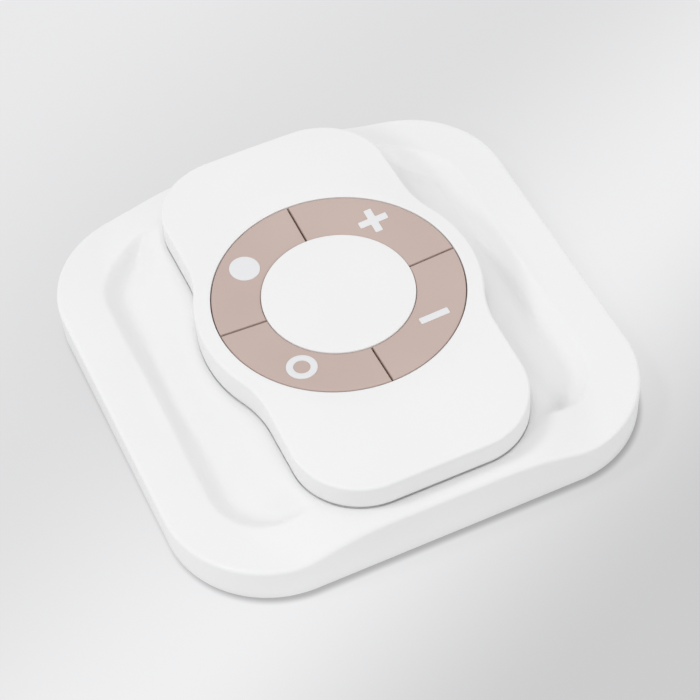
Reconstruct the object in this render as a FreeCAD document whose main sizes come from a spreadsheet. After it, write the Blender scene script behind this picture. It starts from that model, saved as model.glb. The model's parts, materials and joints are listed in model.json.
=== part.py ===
import FreeCAD, Part
import Sketcher
import math
import os

# A slim remote control with a ring of four keys, and the square dish-shaped dock that it rests in.
# Origin: centre of the dock on the surface it lies on. X is right, Y is away from the user, Z is up.
# Lengths are in millimetres and angles in degrees.

doc = FreeCAD.newDocument("smart_remote")
sheet = doc.addObject("Spreadsheet::Sheet", "sizes")

SIZES = (
    # dock, seen from outside
    ("dock_side", 80.0, "width and depth of the dock at its foot"),
    ("dock_corner", 17.5, "radius of the dock's corners in plan"),
    ("dock_flare", 0.2, "how far the dock's side leans out from foot to rim"),
    ("dock_lift", 0.4, "gap under the dock's edge, made by the foam pads"),
    ("rim_height", 7.5, "top of the dock's rim above the surface it lies on"),
    ("rim_width", 7.5, "width of the flat rim round the dish"),
    ("crown_rise", 3.0, "height of the seat for the remote above the rim"),
    ("crown_ledge", 0.6, "width of the seat outside the remote's edge"),
    ("crown_slope", 10.2, "width of the slope from the seat down to the rim"),
    ("valley_corner", 11.0, "radius of the dish's corners in plan"),
    ("valley_depth", 2.0, "depth of the dish below the rim"),
    ("valley_bank", 2.2, "width of the dish's sloping side"),
    ("flank_width", 5.5, "width of the slope from the seat down to the dish's floor"),
    # dock, inside
    ("dock_wall", 2.4, "thickness of the dock's side"),
    ("dock_skin", 1.6, "thickness of the dock's top"),
    ("back_thickness", 1.8, "thickness of the back plate"),
    ("back_play", 0.2, "gap round the back plate"),
    ("plate_post_radius", 3.3, "radius of the posts that take the back plate's screws"),
    ("plate_screw_radius", 1.0, "radius of a back plate screw"),
    ("plate_screw_length", 3.0, "length of a back plate screw above its head"),
    ("plate_head_radius", 1.9, "radius of a back plate screw's head"),
    ("plate_head_height", 0.9, "height of a back plate screw's head"),
    ("wall_hole_spacing", 60.0, "distance between the two wall fixing holes"),
    ("wall_hole_radius", 2.2, "radius of a wall fixing hole"),
    ("wall_column_radius", 4.4, "radius of the columns round the wall fixing holes"),
    ("wall_sink_radius", 3.9, "radius of the countersink for a wall screw's head"),
    ("steel_thickness", 1.0, "thickness of the steel plate that the magnets hold"),
    ("steel_width", 29.0, "width of the steel plate"),
    ("steel_play", 0.3, "gap between the steel plate's ends and the dock"),
    ("foam_width", 12.0, "width of a foam pad"),
    ("foam_length", 44.0, "length of a foam pad"),
    ("foam_height", 1.0, "height of a foam pad"),
    ("foam_inset", 9.0, "distance of the foam pads from the dock's side"),
    # remote, seen from outside
    ("remote_half_width", 19.6, "half width of the remote at its ends"),
    ("remote_half_length", 37.3, "half length of the remote"),
    ("remote_corner", 11.6, "radius of the remote's corners in plan"),
    ("waist_radius", 23.3, "radius of the round middle of the remote"),
    ("waist_blend", 18.0, "radius of the hollow curves beside the round middle"),
    ("shadow_gap", 0.4, "gap between the remote's edge and the dock"),
    ("remote_side", 5.8, "height of the remote's face above its lower edge, at the key ring"),
    ("face_fall", 1.2, "how far the remote's face falls from the key ring to its ends"),
    ("remote_round", 0.5, "rounding of the remote's upper edge"),
    ("remote_low_round", 0.2, "rounding of the remote's lower edge"),
    ("nest_depth", 1.6, "depth of the recess that the remote's foot sits in"),
    ("nest_play", 0.3, "gap round the remote's foot in its recess"),
    ("foot_inset", 1.6, "how far the remote's foot is set in from its edge"),
    # key ring
    ("ring_radius", 20.35, "outer radius of the ring of keys"),
    ("ring_hole", 12.5, "inner radius of the ring of keys"),
    ("ring_play", 0.25, "gap between the keys and the parts round them"),
    ("ring_dish", 0.5, "how far the ring's inner edge lies below its outer edge"),
    ("ring_bevel", 0.15, "bevel of the ring's edges"),
    ("key_gap", 0.45, "gap between neighbouring keys"),
    ("key_travel", 0.3, "how far a key moves when it is pressed"),
    ("key_flange", 1.0, "how far a key's flange reaches under the cover"),
    ("key_flange_height", 0.8, "thickness of a key's flange"),
    ("key_flange_play", 0.2, "gap between a key's flange and the cover"),
    ("key_post_radius", 1.4, "radius of the post under a key"),
    ("symbol_radius", 16.2, "distance of the symbols from the middle"),
    ("symbol_size", 5.0, "width of a symbol"),
    ("symbol_stroke", 1.3, "width of a symbol's strokes"),
    ("symbol_hole", 1.35, "radius of the hole in the ring symbol"),
    ("symbol_proud", 0.12, "how far a symbol stands out of its key"),
    ("symbol_sink", 0.5, "depth of a symbol below its key's face"),
    ("cap_drop", 0.3, "how far the middle cap lies below the remote's face"),
    ("cap_thickness", 1.2, "thickness of the middle cap"),
    ("cap_skirt", 1.0, "thickness of the middle cap's skirt"),
    # cases of the remote
    ("cover_wall", 1.5, "thickness of the cover's side"),
    ("cover_top", 1.2, "thickness of the cover's top"),
    ("floor_thickness", 1.2, "thickness of the lower case's floor"),
    ("lip_thickness", 1.2, "thickness of the lower case's wall"),
    ("lip_height", 2.3, "height of the lower case's wall inside the cover"),
    ("case_screw_x", 11.5, "distance of the case screws from the middle along X"),
    ("case_screw_inset", 6.8, "distance of the case screws from the remote's ends"),
    ("case_post_radius", 2.2, "radius of the posts that take the case screws"),
    ("case_screw_radius", 0.9, "radius of a case screw"),
    ("case_screw_length", 4.0, "length of a case screw above its head"),
    ("case_head_radius", 1.8, "radius of a case screw's head"),
    ("case_head_height", 0.6, "height of a case screw's head"),
    ("magnet_radius", 3.0, "radius of a magnet"),
    ("magnet_height", 1.5, "height of a magnet"),
    ("magnet_floor", 0.4, "thickness of the case under a magnet"),
    ("magnet_ring", 0.8, "thickness of the ring round a magnet"),
    ("magnet_x", 10.5, "distance of the magnets from the middle along X"),
    ("magnet_inset", 12.8, "distance of the magnets from the remote's ends"),
    ("stake_inset_x", 5.4, "distance of the board's stakes from the remote's side"),
    ("stake_y", 18.6, "distance of the board's stakes from the middle along Y"),
    ("stake_radius", 0.65, "radius of a stake"),
    ("stake_shoulder", 1.3, "radius of the shoulder that the board rests on"),
    ("stake_head", 0.4, "how far a stake stands out of the board"),
    # board and switches
    ("board_lift", 1.5, "height of the circuit board above the floor"),
    ("board_thickness", 0.8, "thickness of the circuit board"),
    ("board_inset", 9.6, "distance of the circuit board from the remote's ends"),
    ("board_play", 0.3, "gap between the circuit board and the lower case"),
    ("board_hole_play", 0.9, "gap between the coin cell and the board"),
    ("switch_side", 4.5, "width of a switch"),
    ("switch_height", 0.9, "height of a switch"),
    ("switch_gap", 0.5, "distance of a switch's corner from the ring's inner edge"),
    ("plunger_radius", 1.0, "radius of a switch's plunger"),
    ("plunger_play", 0.06, "gap round a switch's plunger"),
    ("plunger_stand", 0.45, "how far a plunger stands out of its switch"),
    ("press_play", 0.05, "gap between a key and its plunger"),
    ("pair_inset", 12.8, "distance of the pairing button from the remote's front end"),
    ("pair_radius", 1.6, "radius of the pairing button"),
    ("pair_flange", 0.6, "how far the pairing button's flange reaches past its stem"),
    ("pair_flange_height", 0.25, "thickness of the pairing button's flange"),
    ("pair_travel", 0.25, "how far the pairing button moves"),
    ("pair_switch_height", 0.7, "height of the pairing switch"),
    ("pair_plunger_radius", 0.8, "radius of the pairing switch's plunger"),
    ("pair_plunger_stand", 0.3, "how far that plunger stands out of its switch"),
    ("shield_width", 13.0, "width of the radio's shield"),
    ("shield_depth", 7.0, "depth of the radio's shield"),
    ("shield_height", 1.3, "height of the radio's shield"),
    ("shield_sheet", 0.2, "thickness of the radio shield's sheet"),
    ("shield_inset", 14.0, "distance of the radio's shield from the remote's rear end"),
    ("chip_side", 5.0, "width of the radio chip"),
    ("chip_height", 0.8, "height of the radio chip"),
    ("component_count", 6, "number of small components in a row"),
    ("component_step", 3.0, "distance from one small component to the next"),
    ("component_width", 1.0, "width of a small component"),
    ("component_depth", 2.0, "depth of a small component"),
    ("component_height", 0.6, "height of the lowest small component"),
    ("component_y", 4.5, "distance of the row of small components from the pairing switch"),
    ("crystal_width", 3.2, "width of the crystal"),
    ("crystal_depth", 2.5, "depth of the crystal"),
    ("crystal_x", 5.5, "distance of the crystal and the light from the pairing switch"),
    ("light_width", 1.6, "width of the status light"),
    ("light_depth", 0.8, "depth of the status light"),
    ("light_height", 0.5, "height of the status light"),
    # battery
    ("cell_radius", 10.0, "radius of the coin cell"),
    ("cell_height", 3.2, "height of the coin cell"),
    ("cell_play", 0.1, "gap under and over the coin cell"),
    ("cell_step", 0.2, "step between the cell's rim and its flat minus side"),
    ("contact_thickness", 0.2, "thickness of the battery contacts"),
    ("contact_width", 4.0, "width of the battery contacts"),
    ("contact_foot", 2.2, "length of a contact's foot outside the middle cap"),
    ("door_radius", 11.5, "radius of the battery door"),
    ("door_play", 0.1, "gap round the battery door"),
    ("door_twist", 40.0, "angle that the battery door turns to open"),
    ("lug_reach", 1.2, "how far the door's lugs reach past its edge"),
    ("lug_width", 5.0, "width of a lug"),
    ("lug_height", 0.6, "height of a lug"),
    ("coin_slot_length", 13.0, "length of the slot for a coin"),
    ("coin_slot_width", 1.8, "width of the slot for a coin"),
    ("coin_slot_depth", 0.5, "depth of the slot for a coin"),
    # small gaps
    ("slide_play", 0.1, "gap between parts that slide or turn on each other"),
    ("fit_play", 0.05, "gap between parts that are pressed or screwed together"),
)

for row, (alias, number, meaning) in enumerate(SIZES, start=1):
    sheet.set(f"A{row}", meaning)
    sheet.set(f"B{row}", str(number))
    sheet.setAlias(f"B{row}", alias)
doc.recompute()

# Heights of the dock, counted up from the surface it lies on
SEAT_TOP = "(sizes.rim_height + sizes.crown_rise)"
NEST_FLOOR = f"({SEAT_TOP} - sizes.nest_depth)"
VALLEY_FLOOR = "(sizes.rim_height - sizes.valley_depth)"
BACK_TOP = "(sizes.dock_lift + sizes.back_thickness)"
STEEL_TOP = f"({NEST_FLOOR} - sizes.dock_skin)"
STEEL_LOW = f"({STEEL_TOP} - sizes.steel_thickness)"
HOLLOW_TOP = f"({VALLEY_FLOOR} - sizes.dock_skin)"

# Heights of the remote, resting in the dock
EDGE_LOW = f"({SEAT_TOP} + sizes.shadow_gap)"
FACE = f"({EDGE_LOW} + sizes.remote_side)"
CEILING = f"({FACE} - sizes.cover_top)"
FLOOR_TOP = f"({NEST_FLOOR} + sizes.floor_thickness)"
LIP_TOP = f"({EDGE_LOW} + sizes.lip_height)"
BOARD_LOW = f"({FLOOR_TOP} + sizes.board_lift)"
BOARD_TOP = f"({BOARD_LOW} + sizes.board_thickness)"
SWITCH_TOP = f"({BOARD_TOP} + sizes.switch_height)"
PLUNGER_TOP = f"({SWITCH_TOP} + sizes.plunger_stand)"
FLANGE_TOP = f"({CEILING} - sizes.key_flange_play)"
KEY_LOW = f"({FLANGE_TOP} - sizes.key_flange_height)"
CAP_TOP = f"({FACE} - sizes.cap_drop)"
CAP_LOW = f"({CAP_TOP} - sizes.cap_thickness)"
DOOR_LOW = f"({NEST_FLOOR} + sizes.slide_play)"
LUG_LOW = f"({FLOOR_TOP} + sizes.fit_play)"
LUG_TOP = f"({LUG_LOW} + sizes.lug_height)"
CELL_LOW = f"({FLOOR_TOP} + sizes.cell_play)"
CELL_TOP = f"({CELL_LOW} + sizes.cell_height)"

# Widths, radii and places in plan that several parts share
HOLLOW_SIDE = "(sizes.dock_side - 2 * sizes.dock_wall)"
HOLLOW_CORNER = "(sizes.dock_corner - sizes.dock_wall)"
COVER_HOLE = "(sizes.ring_radius + sizes.ring_play)"
CAP_RADIUS = "(sizes.ring_hole - sizes.ring_play)"
BOARD_HOLE = "(sizes.cell_radius + sizes.board_hole_play)"
CASE_SIDE = "(-sizes.foot_inset)"
CASE_INSIDE = "(-sizes.foot_inset - sizes.lip_thickness)"
SIGN_PLACE = "(sizes.symbol_radius * sqrt(0.5))"
SWITCH_PLACE = "((sizes.ring_hole + sizes.switch_gap) * sqrt(0.5) + sizes.switch_side / 2)"
PAIR_Y = "(sizes.pair_inset - sizes.remote_half_length)"


def value(expression):
    """Number that an expression over the sheet gives."""
    result = sheet.evalExpression(str(expression))
    return float(getattr(result, "Value", result))


def bind(thing, **expressions):
    """Bind properties of an object to expressions over the sheet. A double underscore is a dot."""
    for name, expression in expressions.items():
        thing.setExpression(name.replace("__", "."), str(expression))
    return thing


def block(name, wide, deep, low, high, x="0", y="0", angle="0"):
    """Box centred on (x, y), between the heights low and high, turned by angle about its upright axis."""
    made = doc.addObject("Part::Box", name)
    bind(made, Length=wide, Width=deep, Height=f"({high}) - ({low})")
    made.Placement.Rotation = FreeCAD.Rotation(FreeCAD.Vector(0, 0, 1), 1)
    base_x = f"{x} - ({wide}) / 2 * cos({angle}) + ({deep}) / 2 * sin({angle})"
    base_y = f"{y} - ({wide}) / 2 * sin({angle}) - ({deep}) / 2 * cos({angle})"
    bind(made, Placement__Base__x=base_x, Placement__Base__y=base_y, Placement__Base__z=low)
    return bind(made, Placement__Rotation__Angle=angle)


def rod(name, radius, low, high, x="0", y="0"):
    """Upright cylinder centred on (x, y), between the heights low and high."""
    made = doc.addObject("Part::Cylinder", name)
    bind(made, Radius=radius, Height=f"({high}) - ({low})")
    return bind(made, Placement__Base__x=x, Placement__Base__y=y, Placement__Base__z=low)


def cone(name, low_radius, high_radius, low, high, x="0", y="0"):
    """Upright cone frustum centred on (x, y), between the heights low and high."""
    made = doc.addObject("Part::Cone", name)
    bind(made, Radius1=low_radius, Radius2=high_radius, Height=f"({high}) - ({low})")
    return bind(made, Placement__Base__x=x, Placement__Base__y=y, Placement__Base__z=low)


def join(name, *pieces):
    """Union of the pieces."""
    made = doc.addObject("Part::MultiFuse", name)
    made.Shapes = list(pieces)
    made.Refine = True
    return made


def overlap(name, *pieces):
    """Space that all the pieces share."""
    made = doc.addObject("Part::MultiCommon", name)
    made.Shapes = list(pieces)
    made.Refine = True
    return made


def cut(name, base, *tools):
    """Base without the tools."""
    made = doc.addObject("Part::Cut", name)
    made.Base = base
    made.Tool = tools[0] if len(tools) == 1 else join(name + "_tools", *tools)
    made.Refine = True
    return made


def group(name, pieces):
    """One node of several separate solids."""
    made = doc.addObject("Part::Compound", name)
    made.Links = list(pieces)
    return made


def origin_plane(body, role):
    """One of a body's own origin planes."""
    return next(feature for feature in body.Origin.OriginFeatures if feature.Role == role)


def new_sketch(body, name, role, height="0"):
    """Empty sketch on one of the body's origin planes, moved along its normal by height."""
    sketch = body.newObject("Sketcher::SketchObject", name)
    sketch.AttachmentSupport = (origin_plane(body, role), [""])
    sketch.MapMode = "FlatFace"
    return bind(sketch, AttachmentOffset__Base__z=height)


def limit(sketch, constraint, expression=None):
    """Add a constraint to a sketch, bound to an expression where it has a size."""
    number = sketch.addConstraint(constraint)
    if expression is not None:
        sketch.setExpression(f"Constraints[{number}]", expression)
    return number


def rounded_rectangle(body, name, wide, deep, radius, height):
    """Sketch of a rectangle with round corners, centred on the origin."""
    sketch = new_sketch(body, name, "XY_Plane", height)
    half_x = value(wide) / 2
    half_y = value(deep) / 2
    bend = value(radius)
    inner_x = half_x - bend
    inner_y = half_y - bend
    corners = (
        (inner_x, inner_y, 0),
        (-inner_x, inner_y, 90),
        (-inner_x, -inner_y, 180),
        (inner_x, -inner_y, 270),
    )
    sides = (
        (FreeCAD.Vector(inner_x, half_y), FreeCAD.Vector(-inner_x, half_y)),
        (FreeCAD.Vector(-half_x, inner_y), FreeCAD.Vector(-half_x, -inner_y)),
        (FreeCAD.Vector(-inner_x, -half_y), FreeCAD.Vector(inner_x, -half_y)),
        (FreeCAD.Vector(half_x, -inner_y), FreeCAD.Vector(half_x, inner_y)),
    )
    for (x, y, start), (first, last) in zip(corners, sides):
        circle = Part.Circle(FreeCAD.Vector(x, y), FreeCAD.Vector(0, 0, 1), bend)
        sketch.addGeometry(Part.ArcOfCircle(circle, math.radians(start), math.radians(start + 90)))
        sketch.addGeometry(Part.LineSegment(first, last))
    for number in range(4):
        arc = 2 * number
        side = arc + 1
        following = (arc + 2) % 8
        limit(sketch, Sketcher.Constraint("Tangent", arc, 2, side, 1))
        limit(sketch, Sketcher.Constraint("Tangent", side, 2, following, 1))
        limit(sketch, Sketcher.Constraint("Horizontal" if number % 2 == 0 else "Vertical", side))
        if number > 0:
            limit(sketch, Sketcher.Constraint("Equal", 0, arc))
    limit(sketch, Sketcher.Constraint("Radius", 0, bend), radius)
    limit(sketch, Sketcher.Constraint("Symmetric", 0, 3, 4, 3, -1, 1))
    limit(sketch, Sketcher.Constraint("DistanceY", 5, 1, 1, 1, 2 * half_y), deep)
    limit(sketch, Sketcher.Constraint("DistanceX", 3, 1, 7, 1, 2 * half_x), wide)
    return sketch


def disc(body, name, radius, height):
    """Sketch of a circle about the origin."""
    sketch = new_sketch(body, name, "XY_Plane", height)
    circle = Part.Circle(FreeCAD.Vector(), FreeCAD.Vector(0, 0, 1), value(radius))
    sketch.addGeometry(circle)
    limit(sketch, Sketcher.Constraint("Coincident", 0, 3, -1, 1))
    limit(sketch, Sketcher.Constraint("Radius", 0, value(radius)), radius)
    return sketch


def pad(body, name, sketch, length):
    """Pad a sketch upwards."""
    made = body.newObject("PartDesign::Pad", name)
    made.Profile = sketch
    return bind(made, Length=length)


def turned_profile(body, name, profile):
    """Sketch to turn about the Z axis. The profile lists (radius, height) as expressions, in order."""
    sketch = new_sketch(body, name, "XZ_Plane")
    points = [FreeCAD.Vector(value(radius), value(height)) for radius, height in profile]
    for number, point in enumerate(points):
        sketch.addGeometry(Part.LineSegment(point, points[(number + 1) % len(points)]))
    for number, (radius, height) in enumerate(profile):
        before = (number - 1) % len(points)
        limit(sketch, Sketcher.Constraint("Coincident", before, 2, number, 1))
        point = points[number]
        if radius == "0":
            limit(sketch, Sketcher.Constraint("PointOnObject", number, 1, -2))
        else:
            limit(sketch, Sketcher.Constraint("DistanceX", -1, 1, number, 1, point.x), radius)
        limit(sketch, Sketcher.Constraint("DistanceY", -1, 1, number, 1, point.y), height)
    return sketch


def turned(name, profile):
    """Body turned about the Z axis from a profile."""
    body = doc.addObject("PartDesign::Body", name)
    sketch = turned_profile(body, name + "_profile", profile)
    made = body.newObject("PartDesign::Revolution", name + "_turning")
    made.Profile = sketch
    made.ReferenceAxis = (sketch, ["V_Axis"])
    made.Angle = 360
    body.Tip = made
    return body


def edges_where(feature, test):
    """Names of a feature's edges that pass a test."""
    return [f"Edge{number}" for number, edge in enumerate(feature.Shape.Edges, start=1) if test(edge)]


def at_height(height):
    """Test for edges that lie wholly at one height."""
    level = value(height)
    return lambda edge: max(abs(edge.BoundBox.ZMin - level), abs(edge.BoundBox.ZMax - level)) < 1e-4


def dress(body, kind, name, test, **sizes):
    """Fillet or chamfer the edges of a body's last feature that pass a test."""
    doc.recompute()
    base = body.Tip
    made = body.newObject(kind, name)
    made.Base = (base, edges_where(base, test))
    bind(made, **sizes)
    body.Tip = made
    return made


def remote_plan(name, growth, low, high):
    """Body with the remote's plan, grown by growth, between the heights low and high.

    The plan is a rectangle with round corners and a disc about the same centre. Four hollow curves
    fill the notches where the disc comes out of the rectangle's long sides.
    """
    half_width = f"(sizes.remote_half_width + {growth})"
    half_length = f"(sizes.remote_half_length + {growth})"
    middle_radius = f"(sizes.waist_radius + {growth})"
    body = doc.addObject("PartDesign::Body", name)
    corner = f"(sizes.remote_corner + {growth})"
    ends = rounded_rectangle(body, name + "_ends", f"2 * {half_width}", f"2 * {half_length}", corner, low)
    pad(body, name + "_ends_pad", ends, f"({high}) - ({low})")
    middle = disc(body, name + "_middle", middle_radius, low)
    body.Tip = pad(body, name + "_middle_pad", middle, f"({high}) - ({low})")
    notch_x = value(half_width)
    notch_y = math.sqrt(value(middle_radius) ** 2 - notch_x ** 2)

    def is_notch(edge):
        box = edge.BoundBox
        upright = box.ZLength > max(box.XLength, box.YLength) + 1e-4
        return upright and abs(abs(box.Center.x) - notch_x) < 1e-3 and abs(abs(box.Center.y) - notch_y) < 1e-3

    dress(body, "PartDesign::Fillet", name + "_waist", is_notch, Radius=f"sizes.waist_blend - {growth}")
    return body


def fallen_top(body, name, level):
    """Turn off a body's top so that it falls evenly from the key ring's opening, where it is at level."""
    far = f"(2 * sizes.remote_half_length - {COVER_HOLE})"
    sketch = turned_profile(body, name + "_profile", (
        (COVER_HOLE, level),
        (far, f"{level} - 2 * sizes.face_fall"),
        (far, f"{level} + sizes.face_fall"),
    ))
    made = body.newObject("PartDesign::Groove", name)
    made.Profile = sketch
    made.ReferenceAxis = (sketch, ["V_Axis"])
    made.Angle = 360
    body.Tip = made


def slab(name, wide, radius, low, high):
    """Square plate with round corners."""
    body = doc.addObject("PartDesign::Body", name)
    outline = rounded_rectangle(body, name + "_outline", wide, wide, radius, low)
    body.Tip = pad(body, name + "_pad", outline, f"({high}) - ({low})")
    return body


def bowl(name, low_side, low_corner, high_side, high_corner, low, high):
    """Square block with round corners whose side leans evenly between two heights."""
    body = doc.addObject("PartDesign::Body", name)
    foot = rounded_rectangle(body, name + "_foot", low_side, low_side, low_corner, low)
    brim = rounded_rectangle(body, name + "_brim", high_side, high_side, high_corner, high)
    made = body.newObject("PartDesign::AdditiveLoft", name + "_loft")
    made.Profile = foot
    made.Sections = [brim]
    made.Ruled = True
    body.Tip = made
    return body


def four_corners(x, y):
    """The four places (x, y) in the four quadrants, as expressions."""
    return [(f"{sign_x} * {x}", f"{sign_y} * {y}") for sign_x in (1, -1) for sign_y in (1, -1)]


def row_of(make, name, places, *sizes):
    """The same primitive at several places."""
    return [make(f"{name}_{number}", *sizes, x=x, y=y) for number, (x, y) in enumerate(places, start=1)]


def screw(name, x, y, head_radius, head_height, radius, length, low):
    """Screw standing on its head, with a slot in the head's underside."""
    head_top = f"({low} + {head_height})"
    slot_top = f"({low} + {head_height} / 2)"
    head = rod(name + "_head", head_radius, low, head_top, x, y)
    shank = rod(name + "_shank", radius, head_top, f"{head_top} + {length}", x, y)
    slot = block(name + "_slot", f"1.4 * {head_radius}", f"0.3 * {head_radius}", low, slot_top, x, y)
    return cut(name, join(name + "_blank", head, shank), slot)


# Places of the parts that come in pairs or fours. The back plate's posts grow out of the dock's corners.
CORNER_CENTRE = "(sizes.dock_side / 2 - sizes.dock_corner)"
POST_REACH = f"({HOLLOW_CORNER} - sizes.plate_post_radius + sizes.back_play)"
POST_PLACE = f"({CORNER_CENTRE} + {POST_REACH} * sqrt(0.5))"
PLATE_SCREWS = four_corners(POST_PLACE, POST_PLACE)
WALL_HOLES = [("0", "sizes.wall_hole_spacing / 2"), ("0", "-sizes.wall_hole_spacing / 2")]
FOAM_PLACE = "(sizes.dock_side / 2 - sizes.foam_inset - sizes.foam_width / 2)"
FOAM_PADS = [(FOAM_PLACE, "0"), (f"-{FOAM_PLACE}", "0")]
CASE_SCREWS = four_corners("sizes.case_screw_x", "(sizes.remote_half_length - sizes.case_screw_inset)")
MAGNETS = four_corners("sizes.magnet_x", "(sizes.remote_half_length - sizes.magnet_inset)")
STAKES = four_corners("(sizes.remote_half_width - sizes.stake_inset_x)", "sizes.stake_y")
KEYS = {
    "on": (-1, 1),
    "plus": (1, 1),
    "minus": (1, -1),
    "off": (-1, -1),
}

nodes = {}


def make_dock_outside(high):
    """Outer form of the dock up to high: a rim at one level, and a slope that rises from it to the seat."""
    lean = "(sizes.dock_flare / (sizes.rim_height - sizes.dock_lift))"
    growth = f"({lean} * ({high} - sizes.dock_lift))"
    side = bowl("dock_side", "sizes.dock_side", "sizes.dock_corner",
                f"sizes.dock_side + 2 * {growth}", f"sizes.dock_corner + {growth}", "sizes.dock_lift", high)
    rim = block("rim_level", "2 * sizes.dock_side", "2 * sizes.dock_side", "sizes.dock_lift",
                "sizes.rim_height")
    crown = remote_plan("crown", "(sizes.crown_ledge + sizes.crown_slope)", "sizes.dock_lift", SEAT_TOP)
    dress(crown, "PartDesign::Chamfer", "crown_slope", at_height(SEAT_TOP),
          ChamferType="1", Size="sizes.crown_rise", Size2="sizes.crown_slope")
    between = block("crown_width", "sizes.dock_side - 2 * sizes.rim_width", "2 * sizes.dock_side",
                    "sizes.dock_lift", SEAT_TOP)
    return overlap("dock_outside", side, join("dock_levels", rim, overlap("crown_middle", crown, between)))


def make_valleys(high):
    """Space of the dish on both sides of the seat, up to high."""
    floor_side = "(sizes.dock_side - 2 * (sizes.rim_width + sizes.valley_bank))"
    floor_corner = "(sizes.valley_corner - sizes.valley_bank)"
    bank = f"(sizes.valley_bank * ({high} - {VALLEY_FLOOR}) / sizes.valley_depth)"
    dish = bowl("dish", floor_side, floor_corner,
                f"{floor_side} + 2 * {bank}", f"{floor_corner} + {bank}", VALLEY_FLOOR, high)
    flank = remote_plan("flank", "(sizes.crown_ledge + sizes.flank_width)", "sizes.dock_lift", SEAT_TOP)
    dress(flank, "PartDesign::Chamfer", "flank_slope", at_height(SEAT_TOP),
          ChamferType="1", Size=f"{SEAT_TOP} - {VALLEY_FLOOR}", Size2="sizes.flank_width")
    return cut("valleys", dish, flank)


def seat_space(name, play, low, high):
    """Space under the seat between the flanks and between the dock's sides, made smaller by play."""
    flank_here = f"(sizes.flank_width * ({SEAT_TOP} - {STEEL_TOP}) / ({SEAT_TOP} - {VALLEY_FLOOR}))"
    growth = f"(sizes.crown_ledge + {flank_here} - sizes.dock_skin - {play})"
    plan = remote_plan(name + "_plan", growth, low, high)
    sides = slab(name + "_sides", f"{HOLLOW_SIDE} - 2 * {play}", f"{HOLLOW_CORNER} - {play}", low, high)
    return overlap(name, plan, sides)


def make_dock_shell():
    """Top of the dock: a shallow square dish with a raised seat across it for the remote."""
    high = f"({SEAT_TOP} + sizes.remote_side)"
    outside = make_dock_outside(high)
    nest = remote_plan("nest", "(sizes.nest_play - sizes.foot_inset)", NEST_FLOOR, high)
    top = cut("dock_top", outside, make_valleys(high), nest)

    # the hollow underneath, with posts and columns left standing in it
    low_hollow = slab("low_hollow", HOLLOW_SIDE, HOLLOW_CORNER, "sizes.dock_lift", HOLLOW_TOP)
    high_hollow = seat_space("high_hollow", "0", BACK_TOP, STEEL_TOP)
    posts = row_of(rod, "plate_post", PLATE_SCREWS, "sizes.plate_post_radius", BACK_TOP, HOLLOW_TOP)
    columns = row_of(rod, "wall_column", WALL_HOLES, "sizes.wall_column_radius", BACK_TOP, STEEL_TOP)
    hollow = cut("dock_hollow", join("dock_hollows", low_hollow, high_hollow), *posts, *columns)

    head_top = "(sizes.dock_lift + sizes.plate_head_height)"
    pilots = row_of(rod, "plate_pilot", PLATE_SCREWS, "sizes.plate_screw_radius + sizes.fit_play",
                    BACK_TOP, f"{head_top} + sizes.plate_screw_length + sizes.slide_play")
    wall_holes = row_of(rod, "wall_hole", WALL_HOLES, "sizes.wall_hole_radius", BACK_TOP, high)
    sinks = row_of(cone, "wall_sink", WALL_HOLES, "sizes.wall_hole_radius", "sizes.wall_sink_radius",
                   f"{NEST_FLOOR} - (sizes.wall_sink_radius - sizes.wall_hole_radius)", NEST_FLOOR)
    return cut("dock_shell", top, hollow, *pilots, *wall_holes, *sinks)


def make_dock_inside():
    """Back plate with its screws, the steel plate that the magnets hold, and the foam pads."""
    back = slab("back_blank", f"{HOLLOW_SIDE} - 2 * sizes.back_play", f"{HOLLOW_CORNER} - sizes.back_play",
                "sizes.dock_lift", BACK_TOP)
    recesses = row_of(block, "foam_recess", FOAM_PADS, "sizes.foam_width + 2 * sizes.slide_play",
                      "sizes.foam_length + 2 * sizes.slide_play", "sizes.dock_lift", "sizes.foam_height")
    wall_holes = row_of(rod, "back_wall_hole", WALL_HOLES, "sizes.wall_hole_radius", "sizes.dock_lift",
                        BACK_TOP)
    screw_holes = row_of(rod, "back_screw_hole", PLATE_SCREWS, "sizes.plate_screw_radius + sizes.slide_play",
                         "sizes.dock_lift", BACK_TOP)
    head_holes = row_of(rod, "back_head_hole", PLATE_SCREWS, "sizes.plate_head_radius + sizes.slide_play",
                        "sizes.dock_lift", "sizes.dock_lift + sizes.plate_head_height")
    nodes["dock_back_plate"] = cut("dock_back_plate", back, *recesses, *wall_holes, *screw_holes, *head_holes)

    screws = [
        screw(f"plate_screw_{number}", x, y, "sizes.plate_head_radius", "sizes.plate_head_height",
              "sizes.plate_screw_radius", "sizes.plate_screw_length", "sizes.dock_lift")
        for number, (x, y) in enumerate(PLATE_SCREWS, start=1)
    ]
    nodes["dock_plate_screws"] = group("dock_plate_screws", screws)

    hole = "(sizes.wall_column_radius + sizes.slide_play)"
    strip = block("steel_strip", "sizes.steel_width", HOLLOW_SIDE, STEEL_LOW, STEEL_TOP)
    plate = overlap("steel_blank", strip, seat_space("steel_limit", "sizes.steel_play", STEEL_LOW, STEEL_TOP))
    holes = row_of(rod, "steel_hole", WALL_HOLES, hole, STEEL_LOW, STEEL_TOP)
    nodes["dock_steel_plate"] = cut("dock_steel_plate", plate, *holes)

    foam = row_of(block, "foam", FOAM_PADS, "sizes.foam_width", "sizes.foam_length", "0", "sizes.foam_height")
    nodes["dock_foam_pads"] = group("dock_foam_pads", foam)


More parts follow.
